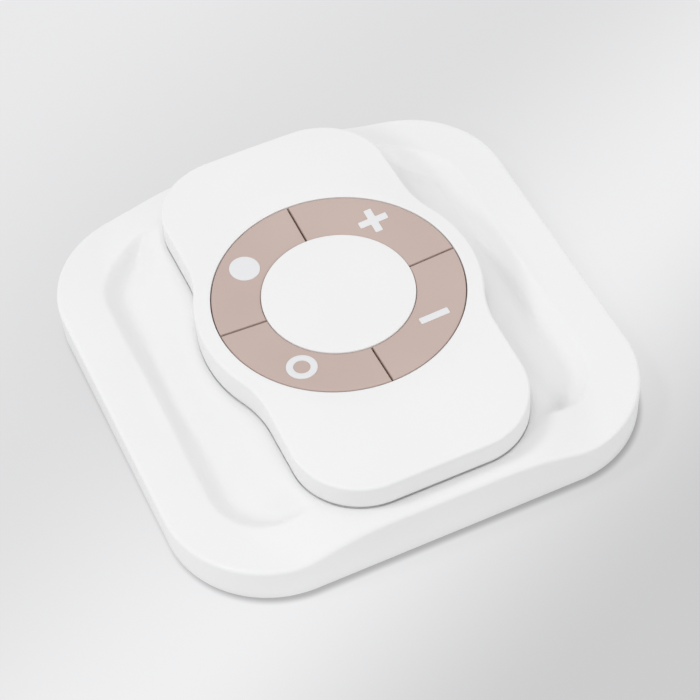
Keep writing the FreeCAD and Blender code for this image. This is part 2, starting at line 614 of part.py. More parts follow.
def make_remote_cover():
    """Upper case of the remote: the white face with its round opening, and the side all round."""
    outside = remote_plan("cover_outside", "0", EDGE_LOW, FACE)
    fallen_top(outside, "cover_face", FACE)
    level = value(FACE)
    lowest = level - 2 * value("sizes.face_fall")

    def is_upper_edge(edge):
        return edge.BoundBox.ZMin > lowest and edge.BoundBox.ZMax < level - 1e-4

    dress(outside, "PartDesign::Fillet", "cover_top_round", is_upper_edge, Radius="sizes.remote_round")
    dress(outside, "PartDesign::Fillet", "cover_low_round", at_height(EDGE_LOW),
          Radius="sizes.remote_low_round")
    inside = remote_plan("cover_inside", "(-sizes.cover_wall)", EDGE_LOW, CEILING)
    fallen_top(inside, "cover_ceiling", CEILING)
    opening = rod("cover_opening", COVER_HOLE, CEILING, FACE)
    posts = row_of(rod, "case_post", CASE_SCREWS, "sizes.case_post_radius",
                   f"{FLOOR_TOP} + sizes.slide_play", f"{CEILING} - sizes.face_fall / 2")
    pilots = row_of(rod, "case_pilot", CASE_SCREWS, "sizes.case_screw_radius + sizes.fit_play", FLOOR_TOP,
                    f"{DOOR_LOW} + sizes.case_head_height + sizes.case_screw_length + sizes.slide_play")
    shell = join("cover_blank", cut("cover_shell", outside, inside, opening), *posts)
    nodes["remote_cover"] = cut("remote_cover", shell, *pilots)


def make_remote_base():
    """Lower case of the remote, whose floor holds the magnets, the board and the battery door."""
    outside = remote_plan("base_outside", CASE_SIDE, NEST_FLOOR, LIP_TOP)
    inside = remote_plan("base_inside", CASE_INSIDE, FLOOR_TOP, LIP_TOP)
    tray = cut("base_tray", outside, inside)

    # rings round the magnets, and the stakes that carry and hold the board
    magnet_low = f"({NEST_FLOOR} + sizes.magnet_floor)"
    ring_top = f"({magnet_low} + sizes.magnet_height)"
    rings = row_of(rod, "magnet_ring", MAGNETS, "sizes.magnet_radius + sizes.magnet_ring", FLOOR_TOP,
                   ring_top)
    shoulders = row_of(rod, "stake_shoulder", STAKES, "sizes.stake_shoulder", FLOOR_TOP, BOARD_LOW)
    stakes = row_of(rod, "stake", STAKES, "sizes.stake_radius", BOARD_LOW, f"{BOARD_TOP} + sizes.stake_head")
    solid = join("base_solid", tray, *rings, *shoulders, *stakes)

    pockets = row_of(rod, "magnet_pocket", MAGNETS, "sizes.magnet_radius + sizes.fit_play", magnet_low,
                     ring_top)
    door_hole = rod("door_hole", "sizes.door_radius + sizes.door_play", NEST_FLOOR, FLOOR_TOP)
    notches = [
        block(f"lug_notch_{number}", "2 * (sizes.door_radius + sizes.lug_reach + sizes.slide_play)",
              "sizes.lug_width + 4 * sizes.slide_play", NEST_FLOOR, FLOOR_TOP, angle=angle)
        for number, angle in enumerate(("sizes.door_twist", "sizes.door_twist + 90"), start=1)
    ]
    head_top = f"({DOOR_LOW} + sizes.case_head_height)"
    head_holes = row_of(rod, "case_head_hole", CASE_SCREWS, "sizes.case_head_radius + sizes.slide_play",
                        NEST_FLOOR, head_top)
    screw_holes = row_of(rod, "case_screw_hole", CASE_SCREWS, "sizes.case_screw_radius + sizes.slide_play",
                         NEST_FLOOR, FLOOR_TOP)
    pair_hole = rod("pair_hole", "sizes.pair_radius + sizes.slide_play", NEST_FLOOR, FLOOR_TOP, y=PAIR_Y)
    nodes["remote_base"] = cut("remote_base", solid, *pockets, door_hole, *notches, *head_holes,
                               *screw_holes, pair_hole)

    magnets = row_of(rod, "magnet", MAGNETS, "sizes.magnet_radius", magnet_low, ring_top)
    nodes["remote_magnets"] = group("remote_magnets", magnets)
    screws = [
        screw(f"case_screw_{number}", x, y, "sizes.case_head_radius", "sizes.case_head_height",
              "sizes.case_screw_radius", "sizes.case_screw_length", DOOR_LOW)
        for number, (x, y) in enumerate(CASE_SCREWS, start=1)
    ]
    nodes["remote_case_screws"] = group("remote_case_screws", screws)


def make_board():
    """Circuit board, held by four stakes, with a round hole for the coin cell."""
    outline = remote_plan("board_outline", f"({CASE_INSIDE} - sizes.board_play)", BOARD_LOW, BOARD_TOP)
    length = block("board_length", "3 * sizes.waist_radius",
                   "2 * (sizes.remote_half_length - sizes.board_inset)", BOARD_LOW, BOARD_TOP)
    cell_hole = rod("board_cell_hole", BOARD_HOLE, BOARD_LOW, BOARD_TOP)
    stake_holes = row_of(rod, "board_stake_hole", STAKES, "sizes.stake_radius + sizes.fit_play",
                         BOARD_LOW, BOARD_TOP)
    blank = overlap("board_blank", outline, length)
    nodes["circuit_board"] = cut("circuit_board", blank, cell_hole, *stake_holes)


def make_switches():
    """Four switches on the board for the keys, and one under it for the pairing button."""
    switches = []
    well_low = f"({SWITCH_TOP} - 2 * sizes.key_travel)"
    for name, (side_x, side_y) in KEYS.items():
        x = f"{side_x} * {SWITCH_PLACE}"
        y = f"{side_y} * {SWITCH_PLACE}"
        body = block(f"switch_{name}_body", "sizes.switch_side", "sizes.switch_side", BOARD_TOP,
                     SWITCH_TOP, x, y)
        well = rod(f"switch_{name}_well", "sizes.plunger_radius + sizes.plunger_play", well_low,
                   SWITCH_TOP, x, y)
        switches.append(cut(f"switch_{name}", body, well))
        nodes[f"plunger_{name}"] = rod(f"plunger_{name}", "sizes.plunger_radius",
                                       f"{well_low} + sizes.key_travel + sizes.fit_play", PLUNGER_TOP, x, y)

    low = f"({BOARD_LOW} - sizes.pair_switch_height)"
    well_top = f"({low} + 2 * sizes.pair_travel)"
    body = block("switch_pair_body", "sizes.switch_side", "sizes.switch_side", low, BOARD_LOW, y=PAIR_Y)
    well = rod("switch_pair_well", "sizes.pair_plunger_radius + sizes.plunger_play", low, well_top, y=PAIR_Y)
    switches.append(cut("switch_pair", body, well))
    nodes["switch_bodies"] = group("switch_bodies", switches)
    plunger_low = f"({low} - sizes.pair_plunger_stand)"
    nodes["plunger_pairing"] = rod("plunger_pairing", "sizes.pair_plunger_radius", plunger_low,
                                   f"{well_top} - sizes.pair_travel - sizes.fit_play", y=PAIR_Y)

    flange_low = f"({FLOOR_TOP} + sizes.fit_play)"
    stem = rod("pair_stem", "sizes.pair_radius", DOOR_LOW, f"{plunger_low} - sizes.press_play", y=PAIR_Y)
    flange = rod("pair_flange", "sizes.pair_radius + sizes.pair_flange", flange_low,
                 f"{flange_low} + sizes.pair_flange_height", y=PAIR_Y)
    nodes["pairing_button"] = join("pairing_button", stem, flange)


def make_electronics():
    """Radio under its shield, a row of small components, a crystal and the status light."""
    shield_y = "(sizes.remote_half_length - sizes.shield_inset)"
    shield_top = f"({BOARD_TOP} + sizes.shield_height)"
    can = block("shield_can", "sizes.shield_width", "sizes.shield_depth", BOARD_TOP, shield_top, y=shield_y)
    can_inside = block("shield_inside", "sizes.shield_width - 2 * sizes.shield_sheet",
                       "sizes.shield_depth - 2 * sizes.shield_sheet", BOARD_TOP,
                       f"{shield_top} - sizes.shield_sheet", y=shield_y)
    nodes["radio_shield"] = cut("radio_shield", can, can_inside)
    nodes["radio_chip"] = block("radio_chip", "sizes.chip_side", "sizes.chip_side", BOARD_TOP,
                                f"{BOARD_TOP} + sizes.chip_height", y=shield_y)

    parts = []
    count = round(value("sizes.component_count"))
    for number in range(count):
        x = f"({number} - {(count - 1) / 2}) * sizes.component_step"
        height = f"sizes.component_height * (1 + {number % 3} / 4)"
        parts.append(block(f"component_{number + 1}", "sizes.component_width", "sizes.component_depth",
                           BOARD_TOP, f"{BOARD_TOP} + {height}", x, f"{PAIR_Y} + sizes.component_y"))
    parts.append(block("crystal", "sizes.crystal_width", "sizes.crystal_depth", BOARD_TOP,
                       f"{BOARD_TOP} + sizes.component_height", "-sizes.crystal_x", PAIR_Y))
    nodes["board_components"] = group("board_components", parts)
    nodes["status_light"] = block("status_light", "sizes.light_width", "sizes.light_depth", BOARD_TOP,
                                  f"{BOARD_TOP} + sizes.light_height", "sizes.crystal_x", PAIR_Y)


def make_battery_contacts():
    """Leaf that presses on the top of the coin cell, and tab that presses on its side."""
    wide = "sizes.contact_width"
    thick = "sizes.contact_thickness"
    foot_end = f"({CAP_RADIUS} + sizes.contact_foot)"
    foot_top = f"({BOARD_TOP} + {thick})"
    leaf_low = f"({CELL_TOP} + sizes.cell_play)"
    leaf_end = "(sizes.cell_radius / 3)"
    riser = f"({CAP_RADIUS} - sizes.cap_skirt / 2)"
    foot = block("minus_foot", wide, f"{foot_end} - {riser}", BOARD_TOP, foot_top,
                 y=f"({foot_end} + {riser}) / 2")
    upright = block("minus_riser", wide, thick, BOARD_TOP, f"{leaf_low} + {thick}",
                    y=f"{riser} - {thick} / 2")
    leaf = block("minus_leaf", wide, f"{riser} - {leaf_end}", leaf_low, f"{leaf_low} + {thick}",
                 y=f"({riser} + {leaf_end}) / 2")
    nodes["battery_contact_minus"] = join("battery_contact_minus", foot, upright, leaf)

    near = "(sizes.cell_radius + 2 * sizes.cell_play)"
    side_foot = block("plus_foot", wide, f"{foot_end} - {near}", BOARD_TOP, foot_top,
                      y=f"-({foot_end} + {near}) / 2")
    side = block("plus_side", wide, thick, f"{LUG_TOP} + 2 * sizes.slide_play", foot_top,
                 y=f"-{near} - {thick} / 2")
    nodes["battery_contact_plus"] = join("battery_contact_plus", side_foot, side)


def make_battery():
    """Coin cell, and the round door with four lugs that turns to open."""
    step = "sizes.cell_step"
    nodes["coin_cell"] = turned("coin_cell", (
        ("0", CELL_LOW),
        (f"sizes.cell_radius - {step}", CELL_LOW),
        ("sizes.cell_radius", f"{CELL_LOW} + {step}"),
        ("sizes.cell_radius", f"{CELL_TOP} - 2 * {step}"),
        (f"sizes.cell_radius - {step}", f"{CELL_TOP} - {step}"),
        (f"sizes.cell_radius - 4 * {step}", f"{CELL_TOP} - {step}"),
        (f"sizes.cell_radius - 5 * {step}", CELL_TOP),
        ("0", CELL_TOP),
    ))

    cover = rod("door_disc", "sizes.door_radius", DOOR_LOW, FLOOR_TOP)
    collar = rod("door_collar", "sizes.door_radius - sizes.slide_play", FLOOR_TOP, LUG_TOP)
    lugs = [
        block(f"door_lug_{number}", "2 * (sizes.door_radius + sizes.lug_reach)", "sizes.lug_width",
              LUG_LOW, LUG_TOP, angle=angle)
        for number, angle in enumerate(("0", "90"), start=1)
    ]
    well = rod("door_well", "sizes.cell_radius + sizes.fit_play", FLOOR_TOP, LUG_TOP)
    slot = block("coin_slot", "sizes.coin_slot_length", "sizes.coin_slot_width", DOOR_LOW,
                 f"{DOOR_LOW} + sizes.coin_slot_depth")
    nodes["battery_door"] = cut("battery_door", join("door_blank", cover, collar, *lugs), well, slot)


def make_centre_cap():
    """White cap in the middle of the ring, whose skirt stands on the board round the coin cell."""
    skirt = f"({CAP_RADIUS} - sizes.slide_play)"
    skirt_inside = f"({skirt} - sizes.cap_skirt)"
    cup = turned("cap_blank", (
        ("0", CAP_LOW),
        (skirt_inside, CAP_LOW),
        (skirt_inside, BOARD_TOP),
        (skirt, BOARD_TOP),
        (skirt, CAP_LOW),
        (CAP_RADIUS, CAP_LOW),
        (CAP_RADIUS, f"{CAP_TOP} - sizes.ring_bevel"),
        (f"{CAP_RADIUS} - sizes.ring_bevel", CAP_TOP),
        ("0", CAP_TOP),
    ))
    slots = block("cap_slots", "sizes.contact_width + 6 * sizes.slide_play", f"3 * {CAP_RADIUS}", BOARD_TOP,
                  f"{CELL_TOP} + sizes.cell_play + sizes.contact_thickness + 3 * sizes.slide_play")
    nodes["centre_cap"] = cut("centre_cap", cup, slots)


def symbol(name, x, y, low, high):
    """White sign let into a key: a dot, a plus, a minus or a ring."""
    size = "sizes.symbol_size"
    stroke = "sizes.symbol_stroke"
    if name == "on":
        return rod("sign_on", f"{size} / 2", low, high, x, y)
    if name == "off":
        outer = rod("sign_off_outer", f"{size} / 2", low, high, x, y)
        inner = rod("sign_off_inner", "sizes.symbol_hole", low, high, x, y)
        return cut("sign_off", outer, inner)
    if name == "minus":
        return block("sign_minus", size, stroke, low, high, x, y)
    across = block("sign_plus_across", size, stroke, low, high, x, y)
    along = block("sign_plus_along", stroke, size, low, high, x, y)
    return join("sign_plus", across, along)


def make_keys():
    """Ring cut into four keys, each with a post over its switch and a white sign in its face."""
    radius = "sizes.ring_radius"
    flange_radius = "(sizes.ring_radius + sizes.key_flange)"
    dish_top = f"({FACE} - sizes.ring_dish)"
    ring = turned("key_ring", (
        ("sizes.ring_hole", KEY_LOW),
        (flange_radius, KEY_LOW),
        (flange_radius, FLANGE_TOP),
        (radius, FLANGE_TOP),
        (radius, f"{FACE} - sizes.ring_bevel"),
        (f"{radius} - sizes.ring_bevel", FACE),
        ("sizes.ring_hole + sizes.ring_bevel", dish_top),
        ("sizes.ring_hole", f"{dish_top} - sizes.ring_bevel"),
    ))
    sign_layer = turned("sign_layer", (
        ("sizes.ring_hole", f"{dish_top} - sizes.symbol_sink"),
        (radius, f"{FACE} - sizes.symbol_sink"),
        (radius, f"{FACE} + sizes.symbol_proud"),
        ("sizes.ring_hole", f"{dish_top} + sizes.symbol_proud"),
    ))
    sign_low = f"({dish_top} - sizes.symbol_sink)"
    sign_high = f"({FACE} + sizes.symbol_proud)"
    reach = f"({radius} + sizes.key_flange)"
    for name, (side_x, side_y) in KEYS.items():
        middle = f"(({reach} + sizes.key_gap / 2) / 2)"
        quarter = block(f"key_{name}_quarter", f"{reach} - sizes.key_gap / 2", f"{reach} - sizes.key_gap / 2",
                        KEY_LOW, FACE, f"{side_x} * {middle}", f"{side_y} * {middle}")
        post = rod(f"key_{name}_post", "sizes.key_post_radius", f"{PLUNGER_TOP} + sizes.press_play", KEY_LOW,
                   f"{side_x} * {SWITCH_PLACE}", f"{side_y} * {SWITCH_PLACE}")
        blank = join(f"key_{name}_blank", overlap(f"key_{name}_part", ring, quarter), post)
        sign = symbol(name, f"{side_x} * {SIGN_PLACE}", f"{side_y} * {SIGN_PLACE}", sign_low, sign_high)
        sign = overlap(f"symbol_{name}", sign_layer, sign)
        nodes[f"symbol_{name}"] = sign
        nodes[f"key_{name}"] = cut(f"key_{name}", blank, sign)


def write_parts():
    """Check every object, then write one STEP file for each node."""
    doc.recompute()
    for thing in doc.Objects:
        if "Invalid" in thing.State or "Error" in thing.State:
            raise RuntimeError(f"{thing.Name} failed: {thing.State}")
    for name, thing in nodes.items():
        shape = thing.Shape
        if shape.isNull() or not shape.isValid() or not shape.Solids:
            raise RuntimeError(f"{name} has no valid solid")
        if thing.TypeId != "Part::Compound" and len(shape.Solids) != 1:
            raise RuntimeError(f"{name} is in {len(shape.Solids)} pieces")
    os.makedirs("parts", exist_ok=True)
    for name, thing in nodes.items():
        thing.Label = name
        thing.Shape.exportStep(f"parts/{name}.step")
        box = thing.Shape.BoundBox
        print(f"{name}: {len(thing.Shape.Solids)} solid(s), {thing.Shape.Volume:.1f} mm3, "
              f"z {box.ZMin:.2f} to {box.ZMax:.2f}")


nodes["dock_shell"] = make_dock_shell()
make_dock_inside()
make_remote_cover()
make_remote_base()
make_board()
make_switches()
make_electronics()
make_battery_contacts()
make_battery()
make_centre_cap()
make_keys()
write_parts()
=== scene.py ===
import json

import bmesh
import bpy
import numpy as np
from mathutils import Matrix


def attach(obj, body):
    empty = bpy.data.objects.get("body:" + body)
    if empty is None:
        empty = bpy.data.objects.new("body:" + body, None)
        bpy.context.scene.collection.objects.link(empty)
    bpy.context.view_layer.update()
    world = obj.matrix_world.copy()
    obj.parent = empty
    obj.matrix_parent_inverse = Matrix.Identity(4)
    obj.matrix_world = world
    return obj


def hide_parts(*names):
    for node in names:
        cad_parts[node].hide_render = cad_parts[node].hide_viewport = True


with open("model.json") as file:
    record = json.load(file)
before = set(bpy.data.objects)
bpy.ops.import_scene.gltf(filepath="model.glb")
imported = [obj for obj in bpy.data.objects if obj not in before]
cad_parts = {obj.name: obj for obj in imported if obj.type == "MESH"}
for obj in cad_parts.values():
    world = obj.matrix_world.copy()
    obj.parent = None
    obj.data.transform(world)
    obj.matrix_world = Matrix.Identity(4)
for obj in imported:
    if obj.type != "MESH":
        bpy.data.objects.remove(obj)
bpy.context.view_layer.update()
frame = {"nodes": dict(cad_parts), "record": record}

# A slim white remote control with a ring of four rose keys, resting on its square white dock.
# Shapes are worked out in millimetres and become metres when a mesh is made. TINY is less than any length
# or angle that matters.
MM = 0.001
TINY = 1e-9

# In every mesh, in metres and degrees: what is merged, what is dissolved, and what is shaded smoothly
MERGE_DISTANCE = 1e-6
SLIVER_WIDTH = 1e-7
SMOOTH_ANGLE = 40.0

# The dock's outside: a square with round corners, whose wall leans out by the flare up to the rim
DOCK_HALF = 40.0
DOCK_CORNER = 17.5
DOCK_FLARE = 0.2
DOCK_LIFT = 0.4
EDGE_ROUND = 0.7
FOOT_ROUND = 0.4
RIM_HEIGHT = 7.5
RIM_WIDTH = 7.5
DOCK_LEAN = DOCK_FLARE / (RIM_HEIGHT - DOCK_LIFT)

# The dock's top: a dish inside a bank, and a seat that falls to the rim by a swell and to the dish by flanks
SEAT_TOP = 10.5
SEAT_LEDGE = 0.6
SWELL_WIDTH = 11.0
DISH_HALF = DOCK_HALF - RIM_WIDTH
DISH_CORNER = 11.0
DISH_FLOOR = 5.5
BANK_WIDTH = 2.6
BANK_CREST = 0.15
BANK_FOOT = 0.5
FLANK_WIDTH = 5.5
FLANK_BLEND = 3.0

# The nest in the seat, and the groove round it. Growths are measured from the remote's outline.
NEST_GROWTH = -1.3
NEST_FLOOR = 8.9
NEST_ROUND = 0.3
GROOVE_WIDTH = 0.6
GROOVE_DEPTH = 0.6
GROOVE_OUTSIDE = -0.05
GROOVE_INSIDE = GROOVE_OUTSIDE - GROOVE_WIDTH
GROOVE_BREAK = 0.05

# The dock's inside, its screw posts and its two countersunk wall holes
DOCK_WALL = 2.4
HOLLOW_TOP = 3.9
SEAT_HOLLOW_GROWTH = 2.52
SEAT_HOLLOW_TOP = 7.3
BACK_TOP = 2.2
POST_PLACE = 30.99
POST_RADIUS = 3.3
PILOT_RADIUS = 1.05
POST_OVERLAP = 0.2
WALL_HOLE_Y = 30.0
WALL_HOLE_RADIUS = 2.2
COLUMN_RADIUS = 4.4
SINK_RADIUS = 3.9
SINK_BREAK_WIDTH = 0.1
SINK_BREAK_DEPTH = 0.05

# The remote's outline: a round waist, a hollow curve on each side of it, and two ends with round corners
REMOTE_HALF_WIDTH = 19.6
REMOTE_HALF_LENGTH = 37.3
REMOTE_CORNER = 11.6
WAIST_RADIUS = 23.3
WAIST_BLEND = 18.0
BLEND_X = REMOTE_HALF_WIDTH + WAIST_BLEND
BLEND_Y = np.sqrt((WAIST_RADIUS + WAIST_BLEND) ** 2 - BLEND_X ** 2)

# The remote's cover
EDGE_LOW = 10.9
FACE = 16.7
FACE_FALL = 1.2
COVER_ROUND = 0.5
COVER_LOW_ROUND = 0.25
COVER_WALL = 1.5
CEILING = 15.5
OPENING_RADIUS = 20.53
OPENING_ROUND = 0.12
CASE_POST_X = 11.5
CASE_POST_Y = 30.5
CASE_POST_RADIUS = 2.2
CASE_PILOT_RADIUS = 0.95
CASE_POST_LOW = 10.2

# The keys
RING_RADIUS = 20.35
RING_HOLE = 12.5
RING_DISH = 0.5
KEY_HALF_GAP = 0.16
KEY_ROUND = 0.2
KEY_LOW = 14.5
FLANGE_TOP = 15.3
FLANGE_RADIUS = 21.35
KEY_POST_RADIUS = 1.4
KEY_POST_LOW = 13.8
KEY_POST_PLACE = 11.44
KEY_POST_BREAK = 0.1
KEY_POST_OVERLAP = 0.3

# The signs on the keys
SIGN_PLACE = 11.455
SIGN_SIZE = 5.0
SIGN_STROKE = 1.3
SIGN_HOLE = 1.35
SIGN_PROUD = 0.12
SIGN_SINK = 0.4
SIGN_ROUND = 0.07
SIGN_CORNER = 0.15

# The cap in the middle and the skirt below it
CAP_RADIUS = 12.42
CAP_TOP = 16.4
CAP_LOW = 15.2
CAP_ROUND = 0.15
SKIRT_RADIUS = 12.15
SKIRT_INSIDE = 11.15
SKIRT_LOW = 12.4
SKIRT_SLOT_TOP = 13.9
SKIRT_SLOT_HALF = 2.3
SKIRT_OVERLAP = 0.1

# How finely the surfaces are divided
DOCK_POINTS = 600
COVER_POINTS = 480
CAP_POINTS = 192
SKIRT_POINTS = 96
HALF_SKIRT_POINTS = 64
SIGN_POINTS = 96
POST_POINTS = 48
CASE_POST_POINTS = 40
KEY_POST_POINTS = 32
SPLIT = 80
CUT_POINTS = 60
TOP_LOOPS = 72
CORE_LOOPS = 3
DOCK_EDGE_STEPS = 8
COVER_EDGE_STEPS = 6
CAP_EDGE_STEPS = 5
KEY_EDGE_STEPS = 4
SIGN_EDGE_STEPS = 4
KEY_STEPS_ACROSS = 14
KEY_STEPS_ALONG = 46
WALL_SHARES = (0.66, 0.33)
COVER_SHARES = (0.25, 0.5, 0.75)
DISC_SHARES = (0.7, 0.4, 0.0)
SIGN_SHARES = (0.5, 0.0)

# Where smooth noise mostly lies, and how far a finish's roughness drifts to each side
NOISE_LOW = 0.3
NOISE_HIGH = 0.7
PLASTIC_DRIFT = 0.04
METAL_DRIFT = 0.08

# Floor, and the soft band of painted light that the floor's glow lays across it: direction in plan, start
# and end in metres, and the tones at shares of the way between these
FLOOR_HALF = 3.0
BAND_ANGLE = 115.0
BAND_START = -0.068
BAND_END = 0.1
BAND_TONES = ((0.0, 0.42), (0.28, 0.68), (0.58, 0.555), (1.0, 0.64))

# Contact shadow, painted into the floor's glow: how far it lies off the dock, away from the key light, how
# far inside and outside the dock's outline it fades, and its tone
SHADOW_SHIFT = (0.2, -0.5, 0.0)
SHADOW_INSIDE = 0.6
SHADOW_OUTSIDE = 0.75
SHADOW_TONE = 0.5

# Camera, above the front left corner, fitted to the outlines in the photograph, in degrees and metres.
# The aims are the heights on the middle axis that the camera and the lights look at.
CAMERA_AZIMUTH = -20.71984925
CAMERA_ELEVATION = 50.60670982
CAMERA_ROLL = -4.90331895
CAMERA_DISTANCE = 0.381
CAMERA_AIM = 0.0004
LIGHT_AIM = 0.01
WORLD_STRENGTH = 0.75


# Outlines and distances in plan

def full_turn(count):
    """Even polar angles round a full turn."""
    return np.arange(count) * 2 * np.pi / count


def ray_to_arc(across, along, centre_x, centre_y, radius, far=True):
    """Distance from the middle to a circle, along each ray (across, along).

    The ray's point nearest the circle's centre lies ahead = ray . centre away, and the crossings lie
    sqrt(ahead^2 - centre^2 + radius^2) beyond it and before it.
    """
    ahead = across * centre_x + along * centre_y
    half_chord = np.sqrt(np.maximum(ahead ** 2 - centre_x ** 2 - centre_y ** 2 + radius ** 2, 0))
    return ahead + half_chord if far else ahead - half_chord


def square_reach(theta, half, corner):
    """Distance from the middle to the outline of a square with round corners, at each polar angle.

    The larger of |cos| and |sin| says which side a ray would leave by. Where it would leave beyond that
    side's straight part, it leaves through the corner's arc instead.
    """
    across = np.abs(np.cos(theta))
    along = np.abs(np.sin(theta))
    inner = half - corner
    straight = half / np.maximum(across, along)
    in_corner = straight * np.minimum(across, along) > inner
    return np.where(in_corner, ray_to_arc(across, along, inner, inner, corner), straight)


def remote_reach(theta, growth=0.0):
    """Distance from the middle to the remote's outline grown by growth, at each polar angle.

    From the side to the end, a quarter of the outline is the round waist, a hollow curve about
    (BLEND_X, BLEND_Y), the straight side, the corner's arc and the straight end.
    """
    across = np.abs(np.cos(theta))
    along = np.abs(np.sin(theta))
    slope = np.arctan2(along, across)
    half_width = REMOTE_HALF_WIDTH + growth
    half_length = REMOTE_HALF_LENGTH + growth
    corner_x = REMOTE_HALF_WIDTH - REMOTE_CORNER
    corner_y = REMOTE_HALF_LENGTH - REMOTE_CORNER
    hollow = ray_to_arc(across, along, BLEND_X, BLEND_Y, WAIST_BLEND - growth, far=False)
    corner = ray_to_arc(across, along, corner_x, corner_y, REMOTE_CORNER + growth)
    limits = [
        slope < np.arctan2(BLEND_Y, BLEND_X),
        slope < np.arctan2(BLEND_Y, half_width),
        slope < np.arctan2(corner_y, half_width),
        slope < np.arctan2(half_length, corner_x),
    ]
    reaches = [
        np.full_like(slope, WAIST_RADIUS + growth),
        hollow,
        half_width / np.maximum(across, TINY),
        corner,
    ]
    return np.select(limits, reaches, half_length / np.maximum(along, TINY))


def rectangle_distance(x, y, half_x, half_y, corner):
    """Signed distance to the outline of a rectangle with round corners, negative inside.

    Past a corner's centre in both directions it is the distance to that centre less the corner's radius,
    and elsewhere the larger of the two distances to the straight sides.
    """
    over_x = np.abs(x) - half_x + corner
    over_y = np.abs(y) - half_y + corner
    outside = np.hypot(np.maximum(over_x, 0), np.maximum(over_y, 0))
    return outside + np.minimum(np.maximum(over_x, over_y), 0) - corner


def remote_distance(x, y):
    """Signed distance to the remote's outline: to its waist, the hollow curve beside it, or its end."""
    x = np.abs(x)
    y = np.abs(y)
    waist = np.hypot(x, y) - WAIST_RADIUS
    hollow = WAIST_BLEND - np.hypot(x - BLEND_X, y - BLEND_Y)
    ends = rectangle_distance(x, y, REMOTE_HALF_WIDTH, REMOTE_HALF_LENGTH, REMOTE_CORNER)
    return np.where(y * BLEND_X < x * BLEND_Y, waist, np.where(y < BLEND_Y, hollow, ends))


def lower_of(first, second, softness):
    """Lower of two values, with a rounding where they come within softness of each other.

    The rounding takes off softness / 4 times the square of 1 - |difference| / softness.
    """
    near = np.maximum(softness - np.abs(first - second), 0) / softness
    return np.minimum(first, second) - near ** 2 * softness / 4


def higher_of(first, second, softness):
    """Higher of two values, rounded in the same way."""
    return -lower_of(-first, -second, softness)


def dock_height(x, y):
    """Height of the dock's top.

    Outside the remote, the seat falls along half a cosine wave: in one surface to the rim, in the other
    to the dish's floor, which it reaches at the bank's foot, but over no less than FLANK_WIDTH. Across the
    bank, the height passes evenly from the second surface to the first, with a rounded start and end.
    """
    beyond = remote_distance(x, y) - SEAT_LEDGE
    from_dish = rectangle_distance(x, y, DISH_HALF, DISH_HALF, DISH_CORNER)

    def fall(low, width):
        """Half a cosine wave from the seat's top down to low, over a width."""
        return low + (SEAT_TOP - low) * (1 + np.cos(np.pi * np.clip(beyond / width, 0, 1))) / 2

    top = fall(RIM_HEIGHT, SWELL_WIDTH)
    dish = fall(DISH_FLOOR, higher_of(beyond - from_dish - BANK_WIDTH, FLANK_WIDTH, FLANK_BLEND))
    share = higher_of(lower_of(1 + from_dish / BANK_WIDTH, 1, BANK_CREST), 0, BANK_FOOT)
    return dish + (top - dish) * share


# Loops and rows of points

def quarter(steps):
    """Even angles from 0 to a right angle."""
    return np.linspace(0, np.pi / 2, steps + 1)


def rounded(radius, steps):
    """Pairs (inset, drop) up a rounded edge, from its side to its top.

    At an angle a, the inset from the side is radius (1 - cos a), and the drop below the top is
    radius (1 - sin a).
    """
    angle = quarter(steps)
    return list(zip(radius * (1 - np.cos(angle)), radius * (1 - np.sin(angle))))


def ring_of_points(theta, reach, height):
    """Points (x, y, z) of one loop about the middle: (reach cos theta, reach sin theta, height)."""
    height = np.broadcast_to(height, theta.shape)
    return np.stack([reach * np.cos(theta), reach * np.sin(theta), height], axis=-1)


def box_profile(inside, outside, low, high):
    """Profile (radius, height) of a tube: a rectangle between two radii and two heights."""
    return [(inside, low), (outside, low), (outside, high), (inside, high)]


def turned(profile, count, x=0.0, y=0.0, start=0.0, sweep=2 * np.pi):
    """Rows of points of a profile (radius, height) turned about an upright axis through (x, y).

    At an angle a, a profile's point lies at (x + radius cos a, y + radius sin a, height).
    """
    whole = abs(sweep - 2 * np.pi) < TINY
    angle = start + sweep * np.arange(count) / (count if whole else count - 1)
    radius, height = np.array(profile, float).T[:, :, None]
    across = x + radius * np.cos(angle)
    along = y + radius * np.sin(angle)
    return np.stack([across, along, height + 0 * angle], axis=-1)


# Patches: a grid of points, whether its rows and its columns go round, and whether its ends get lids

def closed(points):
    """Patch whose columns go round a full turn."""
    return points, False, True, False


def hoop(points):
    """Patch whose rows and columns both go round, as on a tyre."""
    return points, True, True, False


def bar(points):
    """Patch whose rows go round, with a lid on its first and on its last column."""
    return points, True, False, True


def screw_posts(pilot, radius, low, ceiling, place_x, place_y, count):
    """Four hollow screw posts that hang from a ceiling, one in each quarter of the plan."""
    profile = box_profile(pilot, radius, low, ceiling + POST_OVERLAP)
    return [hoop(turned(profile, count, side_x * place_x, side_y * place_y))
            for side_x in (1, -1) for side_y in (1, -1)]


# Meshes

def faces_between(rows, columns, wrap_rows, wrap_columns):
    """Quads between neighbouring rows and columns of a grid of points."""
    row = np.arange(rows if wrap_rows else rows - 1)[:, None]
    column = np.arange(columns if wrap_columns else columns - 1)[None, :]
    next_row = (row + 1) % rows
    next_column = (column + 1) % columns
    corners = np.broadcast_arrays(
        row * columns + column,
        row * columns + next_column,
        next_row * columns + next_column,
        next_row * columns + column,
    )
    return np.stack(corners, axis=-1).reshape(-1, 4)


def add_object(name, data):
    """New object at the origin of the scene."""
    added = bpy.data.objects.new(name, data)
    bpy.context.scene.collection.objects.link(added)
    return added


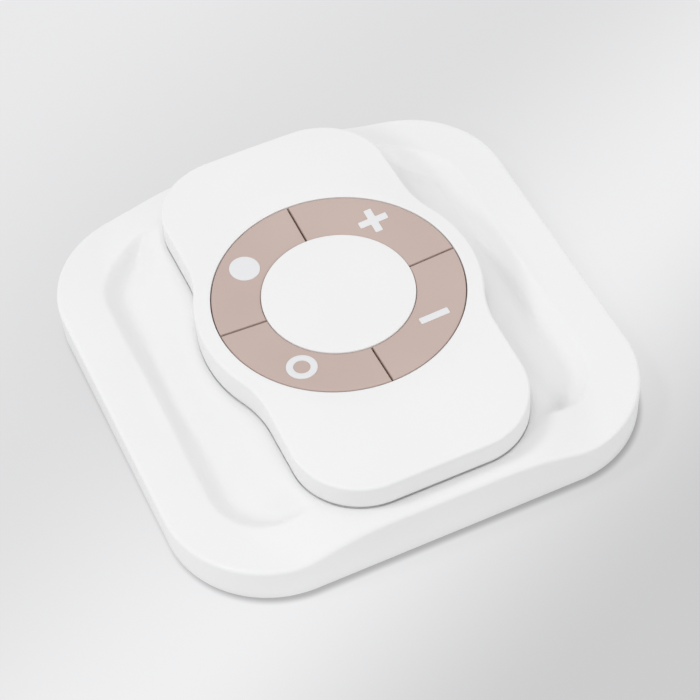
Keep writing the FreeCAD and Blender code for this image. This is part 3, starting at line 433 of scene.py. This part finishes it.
def make_piece(name, patches, body, slot, replaced):
    """Mesh of patches that rides on a body and replaces CAD nodes.

    Points that coincide are merged, which closes seams and poles.
    """
    vertices = []
    faces = []
    count = 0
    for points, wrap_rows, wrap_columns, lids in patches:
        rows, columns = points.shape[:2]
        vertices.append(points.reshape(-1, 3) * MM)
        faces += (faces_between(rows, columns, wrap_rows, wrap_columns) + count).tolist()
        if lids:
            first = np.arange(rows) * columns + count
            faces += [first[::-1].tolist(), (first + columns - 1).tolist()]
        count += rows * columns
    mesh = bpy.data.meshes.new(name)
    mesh.from_pydata(np.concatenate(vertices).tolist(), [], faces)
    work = bmesh.new()
    work.from_mesh(mesh)
    bmesh.ops.remove_doubles(work, verts=work.verts, dist=MERGE_DISTANCE)
    bmesh.ops.dissolve_degenerate(work, edges=work.edges, dist=SLIVER_WIDTH)
    bmesh.ops.recalc_face_normals(work, faces=work.faces)
    work.to_mesh(mesh)
    work.free()
    mesh.polygons.foreach_set("use_smooth", np.ones(len(mesh.polygons), bool))
    mesh.set_sharp_from_angle(angle=np.radians(SMOOTH_ANGLE))
    piece = add_object(name, mesh)
    mesh.materials.append(finishes[slot])
    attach(piece, body)
    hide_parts(*replaced)


# Materials

def new_material(name):
    """New material, its Principled shader, and helpers that add a node and link two sockets."""
    material = bpy.data.materials.new(name)
    material.use_nodes = True
    tree = material.node_tree
    shader = tree.nodes["Principled BSDF"]

    def add(kind, inputs=(), **settings):
        """New node. An input that is itself a socket gets a link, any other sets the input's value."""
        node = tree.nodes.new(kind)
        for key, setting in settings.items():
            setattr(node, key, setting)
        for key, given in dict(inputs).items():
            if isinstance(given, bpy.types.NodeSocket):
                tree.links.new(given, node.inputs[key])
            else:
                node.inputs[key].default_value = given
        return node

    return material, shader, add, tree.links.new


def noise(add, place, waves, detail=3.0, roughness=0.5):
    """Noise over the object's own coordinates, with a number of waves per metre."""
    return add("ShaderNodeTexNoise", {"Vector": place, "Scale": waves, "Detail": detail,
                                      "Roughness": roughness}).outputs["Fac"]


def ranged(add, given, low, high):
    """Noise stretched from its usual span to low and high."""
    return add("ShaderNodeMapRange", {"Value": given, "From Min": NOISE_LOW, "From Max": NOISE_HIGH,
                                      "To Min": low, "To Max": high}).outputs["Result"]


def tinted(add, share, first, second):
    """Colour between two, by share. The mix has its factor in socket 0 and its colours in 6 and 7."""
    return add("ShaderNodeMix", {0: share, 6: (*first, 1.0), 7: (*second, 1.0)},
               data_type="RGBA").outputs[2]


def bumped(add, height, strength, depth):
    """Normal of a surface that is roughened by a height, with a depth in metres."""
    return add("ShaderNodeBump", {"Height": height, "Strength": strength,
                                  "Distance": depth}).outputs["Normal"]


def moulded(name, light, shade, roughness, grain_waves, grain_depth):
    """Moulded plastic: slow drifts of tint, finer drifts of gloss, and the fine grain of the mould."""
    material, shader, add, link = new_material(name)
    place = add("ShaderNodeTexCoord").outputs["Object"]
    drift = ranged(add, noise(add, place, waves=45.0, detail=2.0), 0.0, 1.0)
    link(tinted(add, drift, shade, light), shader.inputs["Base Color"])
    gloss = noise(add, place, waves=700.0, detail=4.0)
    link(ranged(add, gloss, roughness - PLASTIC_DRIFT, roughness + PLASTIC_DRIFT),
         shader.inputs["Roughness"])
    grain = noise(add, place, waves=grain_waves, detail=5.0, roughness=0.6)
    link(bumped(add, grain, strength=0.35, depth=grain_depth), shader.inputs["Normal"])
    return material


def metal(name, light, shade, roughness, stretch):
    """Rolled metal: fine lines along one direction in tint, gloss and height."""
    material, shader, add, link = new_material(name)
    place = add("ShaderNodeTexCoord").outputs["Object"]
    along = add("ShaderNodeMapping", {"Vector": place, "Scale": stretch}).outputs["Vector"]
    lines = noise(add, along, waves=900.0, detail=4.0, roughness=0.65)
    link(tinted(add, ranged(add, lines, 0.0, 1.0), shade, light), shader.inputs["Base Color"])
    link(ranged(add, lines, roughness - METAL_DRIFT, roughness + METAL_DRIFT), shader.inputs["Roughness"])
    link(bumped(add, lines, strength=0.3, depth=5e-6), shader.inputs["Normal"])
    shader.inputs["Metallic"].default_value = 1.0
    return material


def circuit_board_finish():
    """Board with a green solder mask: darker base material shows as a fine weave under it."""
    material, shader, add, link = new_material("board_green")
    place = add("ShaderNodeTexCoord").outputs["Object"]
    weave = add("ShaderNodeTexWave", {"Vector": place, "Scale": 260.0, "Distortion": 1.5, "Detail": 2.0,
                                      "Detail Scale": 2.0}).outputs["Fac"]
    blotch = ranged(add, noise(add, place, waves=160.0), 0.0, 1.0)
    share = add("ShaderNodeMath", {0: weave, 1: blotch}, operation="MULTIPLY").outputs[0]
    link(tinted(add, share, (0.01, 0.09, 0.04), (0.03, 0.19, 0.09)), shader.inputs["Base Color"])
    link(ranged(add, noise(add, place, waves=900.0), 0.24, 0.36), shader.inputs["Roughness"])
    link(bumped(add, weave, strength=0.3, depth=2e-5), shader.inputs["Normal"])
    return material


def foam_finish():
    """Closed-cell foam: small pits between round cells."""
    material, shader, add, link = new_material("foam_pale")
    place = add("ShaderNodeTexCoord").outputs["Object"]
    cells = add("ShaderNodeTexVoronoi", {"Vector": place, "Scale": 2600.0}).outputs["Distance"]
    link(tinted(add, cells, (0.62, 0.62, 0.6), (0.42, 0.42, 0.41)), shader.inputs["Base Color"])
    link(ranged(add, noise(add, place, waves=500.0), 0.75, 0.9), shader.inputs["Roughness"])
    link(bumped(add, cells, strength=0.6, depth=1e-4), shader.inputs["Normal"])
    return material


def lamp_finish():
    """Milky lens of the small status light."""
    material, shader, add, link = new_material("lamp_milky")
    place = add("ShaderNodeTexCoord").outputs["Object"]
    cloud = ranged(add, noise(add, place, waves=1500.0), 0.0, 1.0)
    link(tinted(add, cloud, (0.75, 0.78, 0.7), (0.9, 0.92, 0.86)), shader.inputs["Base Color"])
    link(ranged(add, noise(add, place, waves=3000.0), 0.15, 0.25), shader.inputs["Roughness"])
    shader.inputs["Transmission Weight"].default_value = 0.3
    return material


# One finish for each material slot of the part
finishes = {
    "white_case": moulded("white_case", light=(0.885, 0.885, 0.885), shade=(0.868, 0.868, 0.87),
                          roughness=0.4, grain_waves=5200.0, grain_depth=4e-6),
    "white_dock": moulded("white_dock", light=(0.885, 0.885, 0.886), shade=(0.868, 0.868, 0.87),
                          roughness=0.34, grain_waves=5200.0, grain_depth=3e-6),
    "rose_key": moulded("rose_key", light=(0.58, 0.46, 0.413), shade=(0.549, 0.428, 0.386),
                        roughness=0.5, grain_waves=6500.0, grain_depth=1.2e-5),
    "white_sign": moulded("white_sign", light=(0.825, 0.825, 0.837), shade=(0.795, 0.8, 0.817),
                          roughness=0.35, grain_waves=6000.0, grain_depth=4e-6),
    "black_plastic": moulded("black_plastic", light=(0.03, 0.03, 0.032), shade=(0.018, 0.018, 0.02),
                             roughness=0.5, grain_waves=4000.0, grain_depth=1e-5),
    "steel": metal("steel", light=(0.62, 0.62, 0.63), shade=(0.5, 0.5, 0.52),
                   roughness=0.34, stretch=(1.0, 8.0, 1.0)),
    "cell_steel": metal("cell_steel", light=(0.72, 0.72, 0.72), shade=(0.62, 0.62, 0.63),
                        roughness=0.26, stretch=(6.0, 1.0, 1.0)),
    "spring_metal": metal("spring_metal", light=(0.78, 0.7, 0.5), shade=(0.66, 0.58, 0.4),
                          roughness=0.3, stretch=(1.0, 7.0, 1.0)),
    "magnet": metal("magnet", light=(0.6, 0.61, 0.63), shade=(0.48, 0.49, 0.52),
                    roughness=0.22, stretch=(2.0, 2.0, 1.0)),
    "board": circuit_board_finish(),
    "foam": foam_finish(),
    "lamp_lens": lamp_finish(),
}


# The dock

def zone_loops(points):
    """Closed loops that divide a plate at its two wall holes: its rear end, front end and middle.

    The straight cuts run between the outline's points number SPLIT and its mirror images.
    """
    count = len(points)
    half = count // 2
    rear = points[SPLIT:half - SPLIT + 1]
    front = points[half + SPLIT:count - SPLIT + 1]
    left = points[half - SPLIT:half + SPLIT + 1]
    right = np.concatenate([points[count - SPLIT:], points[:SPLIT + 1]])
    share = np.linspace(0, 1, CUT_POINTS + 2)[1:-1, None]
    rear_cut = rear[-1] + (rear[0] - rear[-1]) * share
    front_cut = front[-1] + (front[0] - front[-1]) * share
    return (np.concatenate([rear, rear_cut]),
            np.concatenate([front, front_cut]),
            np.concatenate([right, rear_cut[::-1], left, front_cut[::-1]]))


def drilled_plate(outlines, heights, hole_rows):
    """Two level plates over each other, and the two holes that join them.

    Rays from a hole's centre to the loop round it carry the plate's points. Hole rows are
    (radius, height, share), and by its share a row's rays pass from the upper plate's angles to the
    lower plate's.
    """
    plates = [zone_loops(outline) for outline in outlines]

    def level(loop, height):
        """Points (x, y, height) of a loop of points (x, y)."""
        return np.column_stack([loop, np.full(len(loop), height)])

    def directions(loop, centre_y):
        """Angle of the ray from a hole's centre to each point of a loop."""
        return np.unwrap(np.arctan2(loop[:, 1] - centre_y, loop[:, 0]))

    patches = []
    for number, centre_y in enumerate((WALL_HOLE_Y, -WALL_HOLE_Y)):
        upper, lower = (loops[number] for loops in plates)
        first = directions(upper, centre_y)
        last = directions(lower, centre_y)
        rows = [level(upper, heights[0])]
        for radius, height, share in hole_rows:
            angle = first * (1 - share) + last * share
            circle = np.column_stack([radius * np.cos(angle), centre_y + radius * np.sin(angle)])
            rows.append(level(circle, height))
        rows.append(level(lower, heights[1]))
        patches.append(closed(np.stack(rows)))
    share = np.linspace(0, 1, CORE_LOOPS + 1)[:, None, None]
    for loops, height in zip(plates, heights):
        core = np.array([0.0, 0.0, height])
        patches.append(closed(core + (level(loops[2], height) - core) * share))
    return patches


def make_dock():
    """Dock: loops about the middle run from its nest out over its top, down its wall and up inside.

    A loop's point at an angle lies on an outline, at a height. On the top, the height is dock_height.
    From the seat's ledge to the rim, the loops pass evenly from the remote's outline to the dock's. The
    wall's outline grows by DOCK_LEAN times the height above its foot.
    """
    theta = full_turn(DOCK_POINTS)

    def on_top(reach, drop=0.0):
        """Loop on the dock's top, or lower by drop."""
        points = ring_of_points(theta, reach, 0.0)
        points[:, 2] = dock_height(points[:, 0], points[:, 1]) - drop
        return points

    def wall(height, inset=0.0):
        """Reach of the outer wall at a height, moved inwards by inset."""
        growth = DOCK_LEAN * (height - DOCK_LIFT) - inset
        return square_reach(theta, DOCK_HALF + growth, DOCK_CORNER + growth)

    # the nest's floor and rounded edge, and the groove round it
    loops = [ring_of_points(theta, remote_reach(theta, NEST_GROWTH), NEST_FLOOR)]
    loops += [on_top(remote_reach(theta, NEST_GROWTH + inset), drop)
              for inset, drop in rounded(NEST_ROUND, DOCK_EDGE_STEPS // 2)]
    groove = [
        (GROOVE_INSIDE, SEAT_TOP),
        (GROOVE_INSIDE, SEAT_TOP - GROOVE_DEPTH),
        (GROOVE_OUTSIDE, SEAT_TOP - GROOVE_DEPTH),
        (GROOVE_OUTSIDE, SEAT_TOP - GROOVE_BREAK),
        (GROOVE_OUTSIDE + GROOVE_BREAK, SEAT_TOP),
    ]
    loops += [ring_of_points(theta, remote_reach(theta, growth), height) for growth, height in groove]

    # the seat, the dish and the rim, with the rim's rounded edge
    edge = on_top(square_reach(theta, DOCK_HALF + DOCK_FLARE, DOCK_CORNER + DOCK_FLARE))[:, 2]
    rim = [on_top(wall(edge - drop, inset), drop) for inset, drop in rounded(EDGE_ROUND, DOCK_EDGE_STEPS)]
    inner = remote_reach(theta, SEAT_LEDGE)
    outer = np.hypot(rim[-1][:, 0], rim[-1][:, 1])
    loops += [on_top(inner + (outer - inner) * share) for share in np.linspace(0, 1, TOP_LOOPS + 1)[:-1]]
    loops += rim[::-1]

    # the outer wall and its rounded foot
    wall_low = DOCK_LIFT + FOOT_ROUND
    wall_high = rim[0][:, 2]
    for share in WALL_SHARES:
        height = wall_low + (wall_high - wall_low) * share
        loops.append(ring_of_points(theta, wall(height), height))
    for inset, drop in rounded(FOOT_ROUND, DOCK_EDGE_STEPS // 2):
        height = DOCK_LIFT + drop
        loops.append(ring_of_points(theta, wall(height, inset), height))

    # inside: up the wall, along the low ceiling, and up into the hollow under the seat
    low = square_reach(theta, DOCK_HALF - DOCK_WALL, DOCK_CORNER - DOCK_WALL)
    high = np.minimum(low, remote_reach(theta, SEAT_HOLLOW_GROWTH))
    inside = [(low, DOCK_LIFT), (low, HOLLOW_TOP), (high, HOLLOW_TOP), (high, SEAT_HOLLOW_TOP)]
    loops += [ring_of_points(theta, reach, height) for reach, height in inside]
    patches = [closed(np.stack(loops))]

    # the wall holes, down through the countersinks and the columns round them
    hole_rows = [
        (SINK_RADIUS + SINK_BREAK_WIDTH, NEST_FLOOR, 0.0),
        (SINK_RADIUS, NEST_FLOOR - SINK_BREAK_DEPTH, 0.0),
        (WALL_HOLE_RADIUS, NEST_FLOOR - (SINK_RADIUS - WALL_HOLE_RADIUS), 0.0),
        (WALL_HOLE_RADIUS, BACK_TOP, 1.0),
        (COLUMN_RADIUS, BACK_TOP, 1.0),
        (COLUMN_RADIUS, SEAT_HOLLOW_TOP, 1.0),
    ]
    outlines = (loops[0][:, :2], loops[-1][:, :2])
    patches += drilled_plate(outlines, (NEST_FLOOR, SEAT_HOLLOW_TOP), hole_rows)
    patches += screw_posts(PILOT_RADIUS, POST_RADIUS, BACK_TOP, HOLLOW_TOP, POST_PLACE, POST_PLACE,
                           POST_POINTS)
    make_piece("dock", patches, "dock", "white_dock", ["dock_shell"])


# The remote

def make_cover():
    """Cover: a closed profile carried round the remote's outline, and its four screw posts.

    The profile's loops are the outline grown by some distance, at a height. Over the face they pass
    evenly from the outline to the round opening, and the face falls evenly from the opening to the ends.
    """
    theta = full_turn(COVER_POINTS)

    def at(growth, height):
        """Loop on the remote's outline grown by growth."""
        return ring_of_points(theta, remote_reach(theta, growth), height)

    def round_at(radius, height):
        """Loop on a circle."""
        return ring_of_points(theta, np.full_like(theta, radius), height)

    def fallen(reach, level):
        """Height of a surface that falls evenly from the opening, where it is at level, to the ends."""
        return level - FACE_FALL * (reach - OPENING_RADIUS) / (REMOTE_HALF_LENGTH - OPENING_RADIUS)

    # down inside, round the lower edge, up outside and round the upper edge
    ceiling_edge = fallen(remote_reach(theta, -COVER_WALL), CEILING)
    loops = [at(-COVER_WALL, ceiling_edge), at(-COVER_WALL, EDGE_LOW)]
    loops += [at(-inset, EDGE_LOW + drop)
              for inset, drop in rounded(COVER_LOW_ROUND, COVER_EDGE_STEPS // 2)[::-1]]
    rim = remote_reach(theta, -COVER_ROUND)
    edge = fallen(rim, FACE)
    low = EDGE_LOW + COVER_LOW_ROUND
    loops += [at(0.0, low + (edge - COVER_ROUND - low) * share) for share in COVER_SHARES]
    loops += [at(-inset, edge - drop) for inset, drop in rounded(COVER_ROUND, COVER_EDGE_STEPS)]

    # over the face and down into the opening
    inner = OPENING_RADIUS + OPENING_ROUND
    for share in COVER_SHARES:
        reach = rim + (inner - rim) * share
        loops.append(ring_of_points(theta, reach, fallen(reach, FACE)))
    loops += [round_at(OPENING_RADIUS + inset, FACE - drop)
              for inset, drop in rounded(OPENING_ROUND, COVER_EDGE_STEPS // 2)[::-1]]
    loops.append(round_at(OPENING_RADIUS, CEILING))
    patches = [hoop(np.stack(loops))]
    patches += screw_posts(CASE_PILOT_RADIUS, CASE_POST_RADIUS, CASE_POST_LOW, CEILING,
                           CASE_POST_X, CASE_POST_Y, CASE_POST_POINTS)
    make_piece("cover", patches, "remote", "white_case", ["remote_cover"])


def key_face(x, y):
    """Height of the keys' dished face: it rises evenly from the ring's inner edge to its outer edge."""
    share = (np.hypot(x, y) - RING_HOLE) / (RING_RADIUS - RING_HOLE)
    return FACE - RING_DISH * (1 - share)


def edged(steps, length):
    """Places across a strip of a given length: even steps, and closer ones at its rounded edges."""
    near = np.array([inset for inset, _ in rounded(KEY_ROUND, KEY_EDGE_STEPS)])
    middle = KEY_ROUND + (length - 2 * KEY_ROUND) * np.linspace(0, 1, steps + 1)[1:-1]
    return np.concatenate([near + 0 * length, middle, length - near[::-1]], axis=-1)


def rounding_drop(from_edge):
    """How far a surface lies lower near its rounded edge: a quarter circle of radius KEY_ROUND."""
    left = np.maximum(KEY_ROUND - from_edge, 0)
    return KEY_ROUND - np.sqrt(np.maximum(KEY_ROUND ** 2 - left ** 2, 0))


def make_key(name, side_x, side_y):
    """Key: a profile with a flange, carried along a quarter of the ring between two straight gaps.

    The profile's points lie at radii from the ring's hole to the flange's edge. At each radius, the key
    runs from the angle arcsin(half gap / radius) to a right angle less that angle.
    """
    width = RING_RADIUS - RING_HOLE
    radius = np.concatenate([
        [RING_HOLE],
        RING_HOLE + edged(KEY_STEPS_ACROSS, width),
        [RING_RADIUS, FLANGE_RADIUS, FLANGE_RADIUS],
    ])[:, None]
    gap_angle = np.arcsin(KEY_HALF_GAP / radius)
    length = radius * (np.pi / 2 - 2 * gap_angle)
    along = edged(KEY_STEPS_ALONG, length)
    angle = gap_angle + along / radius
    drop = np.maximum(rounding_drop(np.minimum(along, length - along)),
                      rounding_drop(np.minimum(radius - RING_HOLE, RING_RADIUS - radius)))
    height = key_face(radius, 0.0) - drop
    height[[0, -1]] = KEY_LOW
    height[[-3, -2]] = FLANGE_TOP
    across = radius * np.cos(angle)
    ahead = radius * np.sin(angle)
    points = np.stack([side_x * across, side_y * ahead, height], axis=-1)
    post = [
        (0.0, KEY_POST_LOW),
        (KEY_POST_RADIUS - KEY_POST_BREAK, KEY_POST_LOW),
        (KEY_POST_RADIUS, KEY_POST_LOW + KEY_POST_BREAK),
        (KEY_POST_RADIUS, KEY_LOW + KEY_POST_OVERLAP),
        (0.0, KEY_LOW + KEY_POST_OVERLAP),
    ]
    post_points = turned(post, KEY_POST_POINTS, side_x * KEY_POST_PLACE, side_y * KEY_POST_PLACE)
    patches = [bar(points), closed(post_points)]
    make_piece(f"rose_{name}", patches, f"key_{name}", "rose_key", [f"key_{name}"])


def corner_loop(corners, inset):
    """Outline through right-angled corners, each rounded by a quarter circle, moved inwards by inset.

    At a corner with incoming direction a and outgoing direction b, the arc's centre is the corner
    - radius a + radius b. An outward corner's arc loses inset in radius, and an inward corner's gains it.
    """
    corners = np.array(corners, float)
    ahead = np.roll(corners, -1, axis=0) - corners
    ahead /= np.linalg.norm(ahead, axis=1)[:, None]
    behind = np.roll(ahead, 1, axis=0)
    turn = np.sign(behind[:, 0] * ahead[:, 1] - behind[:, 1] * ahead[:, 0])
    centre = corners + SIGN_CORNER * (ahead - behind)
    radius = (SIGN_CORNER - turn * inset)[:, None, None]
    angle = quarter(SIGN_EDGE_STEPS)[:, None]
    spoke = behind[:, None] * np.sin(angle) - ahead[:, None] * np.cos(angle)
    return (centre[:, None] + radius * spoke).reshape(-1, 2)


def make_sign(name, side_x, side_y):
    """Sign: loops climb its side, round its upper edge and close over its top.

    Each point's height is the key's face below it plus the loop's own height. The off sign is a ring, so
    its loops also run down its hole and go round. The plus is one arm's corners turned four times.
    """
    centre = np.array([side_x, side_y]) * SIGN_PLACE
    half = SIGN_SIZE / 2
    thin = SIGN_STROKE / 2
    steps = [(0.0, -SIGN_SINK)]
    steps += [(inset, SIGN_PROUD - drop) for inset, drop in rounded(SIGN_ROUND, SIGN_EDGE_STEPS)]
    angle = full_turn(SIGN_POINTS)
    circle = np.column_stack([np.cos(angle), np.sin(angle)])
    arm = [(half, -thin), (half, thin), (thin, thin)]
    quarter_turn = np.array([(0, 1), (-1, 0)])
    outlines = {
        "plus": np.concatenate([arm @ np.linalg.matrix_power(quarter_turn, turns) for turns in range(4)]),
        "minus": [(half, -thin), (half, thin), (-half, thin), (-half, -thin)],
    }
    if name in outlines:
        flat = [corner_loop(outlines[name], inset) for inset, _ in steps]
    else:
        flat = [circle * (half - inset) for inset, _ in steps]
    heights = [height for _, height in steps]
    if name == "off":
        flat.append(circle * (half + SIGN_HOLE) / 2)
        flat += [circle * (SIGN_HOLE + inset) for inset, _ in steps[::-1]]
        heights += [SIGN_PROUD] + heights[::-1]
    else:
        flat = [flat[0] * 0.0] + flat + [flat[-1] * share for share in SIGN_SHARES]
        heights = [-SIGN_SINK] + heights + [SIGN_PROUD, SIGN_PROUD]
    rows = []
    for loop, height in zip(flat, heights):
        spot = loop + centre
        rows.append(np.column_stack([spot, key_face(spot[:, 0], spot[:, 1]) + height]))
    points = np.stack(rows)
    patch = hoop(points) if name == "off" else closed(points)
    make_piece(f"sign_{name}", [patch], f"key_{name}", "white_sign", [f"symbol_{name}"])


def make_cap():
    """Cap: a turned disc with a rounded edge, over a turned skirt.

    The skirt is whole above its two slots, which let the battery's contacts through. Below, it stops on
    both sides of each slot, at the angle arcsin(half slot / inner radius) from the slot's middle.
    """
    disc = [(0.0, CAP_LOW), (CAP_RADIUS, CAP_LOW)]
    disc += [(CAP_RADIUS - inset, CAP_TOP - drop) for inset, drop in rounded(CAP_ROUND, CAP_EDGE_STEPS)]
    disc += [(CAP_RADIUS * share, CAP_TOP) for share in DISC_SHARES]
    collar = box_profile(SKIRT_INSIDE, SKIRT_RADIUS, SKIRT_SLOT_TOP, CAP_LOW + SKIRT_OVERLAP)
    wall = box_profile(SKIRT_INSIDE, SKIRT_RADIUS, SKIRT_LOW, SKIRT_SLOT_TOP + SKIRT_OVERLAP)
    sweep = np.pi - 2 * np.arcsin(SKIRT_SLOT_HALF / SKIRT_INSIDE)
    patches = [closed(turned(disc, CAP_POINTS)), hoop(turned(collar, SKIRT_POINTS))]
    patches += [bar(turned(wall, HALF_SKIRT_POINTS, start=middle - sweep / 2, sweep=sweep))
                for middle in (0.0, np.pi)]
    make_piece("middle_cap", patches, "remote", "white_case", ["centre_cap"])


make_dock()
make_cover()
make_cap()
for key, (side_x, side_y) in {"on": (-1, 1), "plus": (1, 1), "minus": (1, -1), "off": (-1, -1)}.items():
    make_key(key, side_x, side_y)
    make_sign(key, side_x, side_y)

# The other parts keep their shape and take their slot's finish.
for part in frame["record"]["subparts"]:
    for slot in frame["nodes"][part["node"]].material_slots:
        slot.material = finishes[part["material_slot"]]


# Floor, light and camera

def vector_step(add, operation, first, second=(0.0, 0.0, 0.0)):
    """One step of work on vectors, part by part."""
    return add("ShaderNodeVectorMath", {0: first, 1: second}, operation=operation).outputs["Vector"]


def painted_light_band(add, place):
    """Glow of the soft band of painted light, by how far a point lies along the band's direction."""
    turn = np.radians(BAND_ANGLE)
    across = add("ShaderNodeVectorMath", {0: place, 1: (np.cos(turn), np.sin(turn), 0.0)},
                 operation="DOT_PRODUCT").outputs["Value"]
    share = add("ShaderNodeMapRange", {"Value": across, "From Min": BAND_START, "From Max": BAND_END})
    ramp = add("ShaderNodeValToRGB", {"Fac": share.outputs["Result"]})
    ramp.color_ramp.interpolation = "EASE"
    for number, (stop, tone) in enumerate(BAND_TONES):
        point = ramp.color_ramp.elements[number] if number < 2 else ramp.color_ramp.elements.new(stop)
        point.position = stop
        point.color = (tone, tone, tone, 1.0)
    return ramp.outputs["Color"]


def painted_contact_shadow(add, place):
    """Tone of the painted contact shadow, by the distance to the square that joins the corner arcs' centres.

    That distance is the length in plan of the positive parts of |place| - inner, and it is DOCK_CORNER on
    the dock's outline.
    """
    inner = (DOCK_HALF - DOCK_CORNER) * MM
    over = vector_step(add, "SUBTRACT", place, np.array(SHADOW_SHIFT) * MM)
    over = vector_step(add, "ABSOLUTE", over)
    over = vector_step(add, "SUBTRACT", over, (inner, inner, 0.0))
    over = vector_step(add, "MAXIMUM", over)
    reach = add("ShaderNodeVectorMath", {0: over}, operation="LENGTH").outputs["Value"]
    return add("ShaderNodeMapRange", {"Value": reach, "To Min": SHADOW_TONE,
                                      "From Min": (DOCK_CORNER - SHADOW_INSIDE) * MM,
                                      "From Max": (DOCK_CORNER + SHADOW_OUTSIDE) * MM},
               interpolation_type="SMOOTHSTEP").outputs["Result"]


def make_floor():
    """Floor made pale by its glow, which paints a broad soft band of light and a contact shadow under the
    dock.
    """
    material, shader, add, link = new_material("floor_pale")
    place = add("ShaderNodeTexCoord").outputs["Object"]
    drift = ranged(add, noise(add, place, waves=3.0, detail=2.0), 0.0, 1.0)
    link(tinted(add, drift, (0.165, 0.165, 0.168), (0.182, 0.182, 0.185)), shader.inputs["Base Color"])
    link(ranged(add, noise(add, place, waves=400.0), 0.65, 0.75), shader.inputs["Roughness"])
    shader.inputs["Specular IOR Level"].default_value = 0.2
    # The floor glows: painted light in a band, dimmed to a painted shadow near the dock.
    glow = add("ShaderNodeMath", {0: painted_light_band(add, place), 1: painted_contact_shadow(add, place)},
               operation="MULTIPLY").outputs[0]
    link(glow, shader.inputs["Emission Strength"])
    shader.inputs["Emission Color"].default_value = (1.0, 1.0, 1.01, 1.0)
    mesh = bpy.data.meshes.new("floor")
    corners = [(-FLOOR_HALF, -FLOOR_HALF, 0), (FLOOR_HALF, -FLOOR_HALF, 0),
               (FLOOR_HALF, FLOOR_HALF, 0), (-FLOOR_HALF, FLOOR_HALF, 0)]
    mesh.from_pydata(corners, [], [(0, 1, 2, 3)])
    mesh.materials.append(material)
    floor = add_object("floor", mesh)


def aimed(azimuth, elevation, distance, aim, roll=0.0):
    """Placing matrix of a lamp or camera that looks at the point at height aim over the origin.

    It lies back from that point, in the direction (sin a cos e, -cos a cos e, sin e) for azimuth a, which
    is 0 towards the user, and elevation e. Roll turns its sides about its line of sight.
    """
    turn, rise, lean = np.radians([azimuth, elevation, roll])
    back = np.array([np.sin(turn) * np.cos(rise), -np.cos(turn) * np.cos(rise), np.sin(rise)])
    right = np.array([np.cos(turn), np.sin(turn), 0.0])
    up = np.cross(back, right)
    side = np.cos(lean) * right + np.sin(lean) * up
    top = np.cos(lean) * up - np.sin(lean) * right
    place = back * distance + [0.0, 0.0, aim]
    return Matrix(np.vstack([np.column_stack([side, top, back, place]), [0.0, 0.0, 0.0, 1.0]]).tolist())


def make_light(name, azimuth, elevation, distance, size, power, mirrored=True):
    """Square soft light that looks at the object's middle. One that isn't mirrored has no highlight."""
    light = bpy.data.lights.new(name, "AREA")
    light.shape = "SQUARE"
    light.size = size
    light.energy = power
    lamp = add_object(name, light)
    lamp.visible_glossy = mirrored
    lamp.matrix_world = aimed(azimuth, elevation, distance, LIGHT_AIM)


def make_camera():
    """Camera with the photograph's perspective. Its lens and its sensor are in millimetres."""
    lens = bpy.data.cameras.new("camera")
    lens.sensor_width = 36.0
    lens.lens = 118.87
    lens.shift_x = 0.00875
    lens.shift_y = 0.00808
    lens.clip_start = 0.01
    lens.clip_end = 20.0
    camera = add_object("camera", lens)
    camera.matrix_world = aimed(CAMERA_AZIMUTH, CAMERA_ELEVATION, CAMERA_DISTANCE, CAMERA_AIM,
                                roll=CAMERA_ROLL)
    bpy.context.scene.camera = camera


def make_world():
    """Even white light from all round. The picture's tones stay as they are lit."""
    world = bpy.data.worlds.new("studio")
    world.use_nodes = True
    background = world.node_tree.nodes["Background"]
    background.inputs["Color"].default_value = (1.0, 1.0, 1.0, 1.0)
    background.inputs["Strength"].default_value = WORLD_STRENGTH
    bpy.context.scene.world = world
    bpy.context.scene.view_settings.view_transform = "Standard"


make_floor()
make_light("key_light", azimuth=-110.0, elevation=56.0, distance=2.0, size=0.36, power=7.9,
           mirrored=False)
make_light("front_light", azimuth=38.0, elevation=18.0, distance=1.0, size=0.9, power=1.85)
make_light("glint_light", azimuth=-67.0, elevation=44.0, distance=0.6, size=0.06, power=0.27)
make_camera()
make_world()
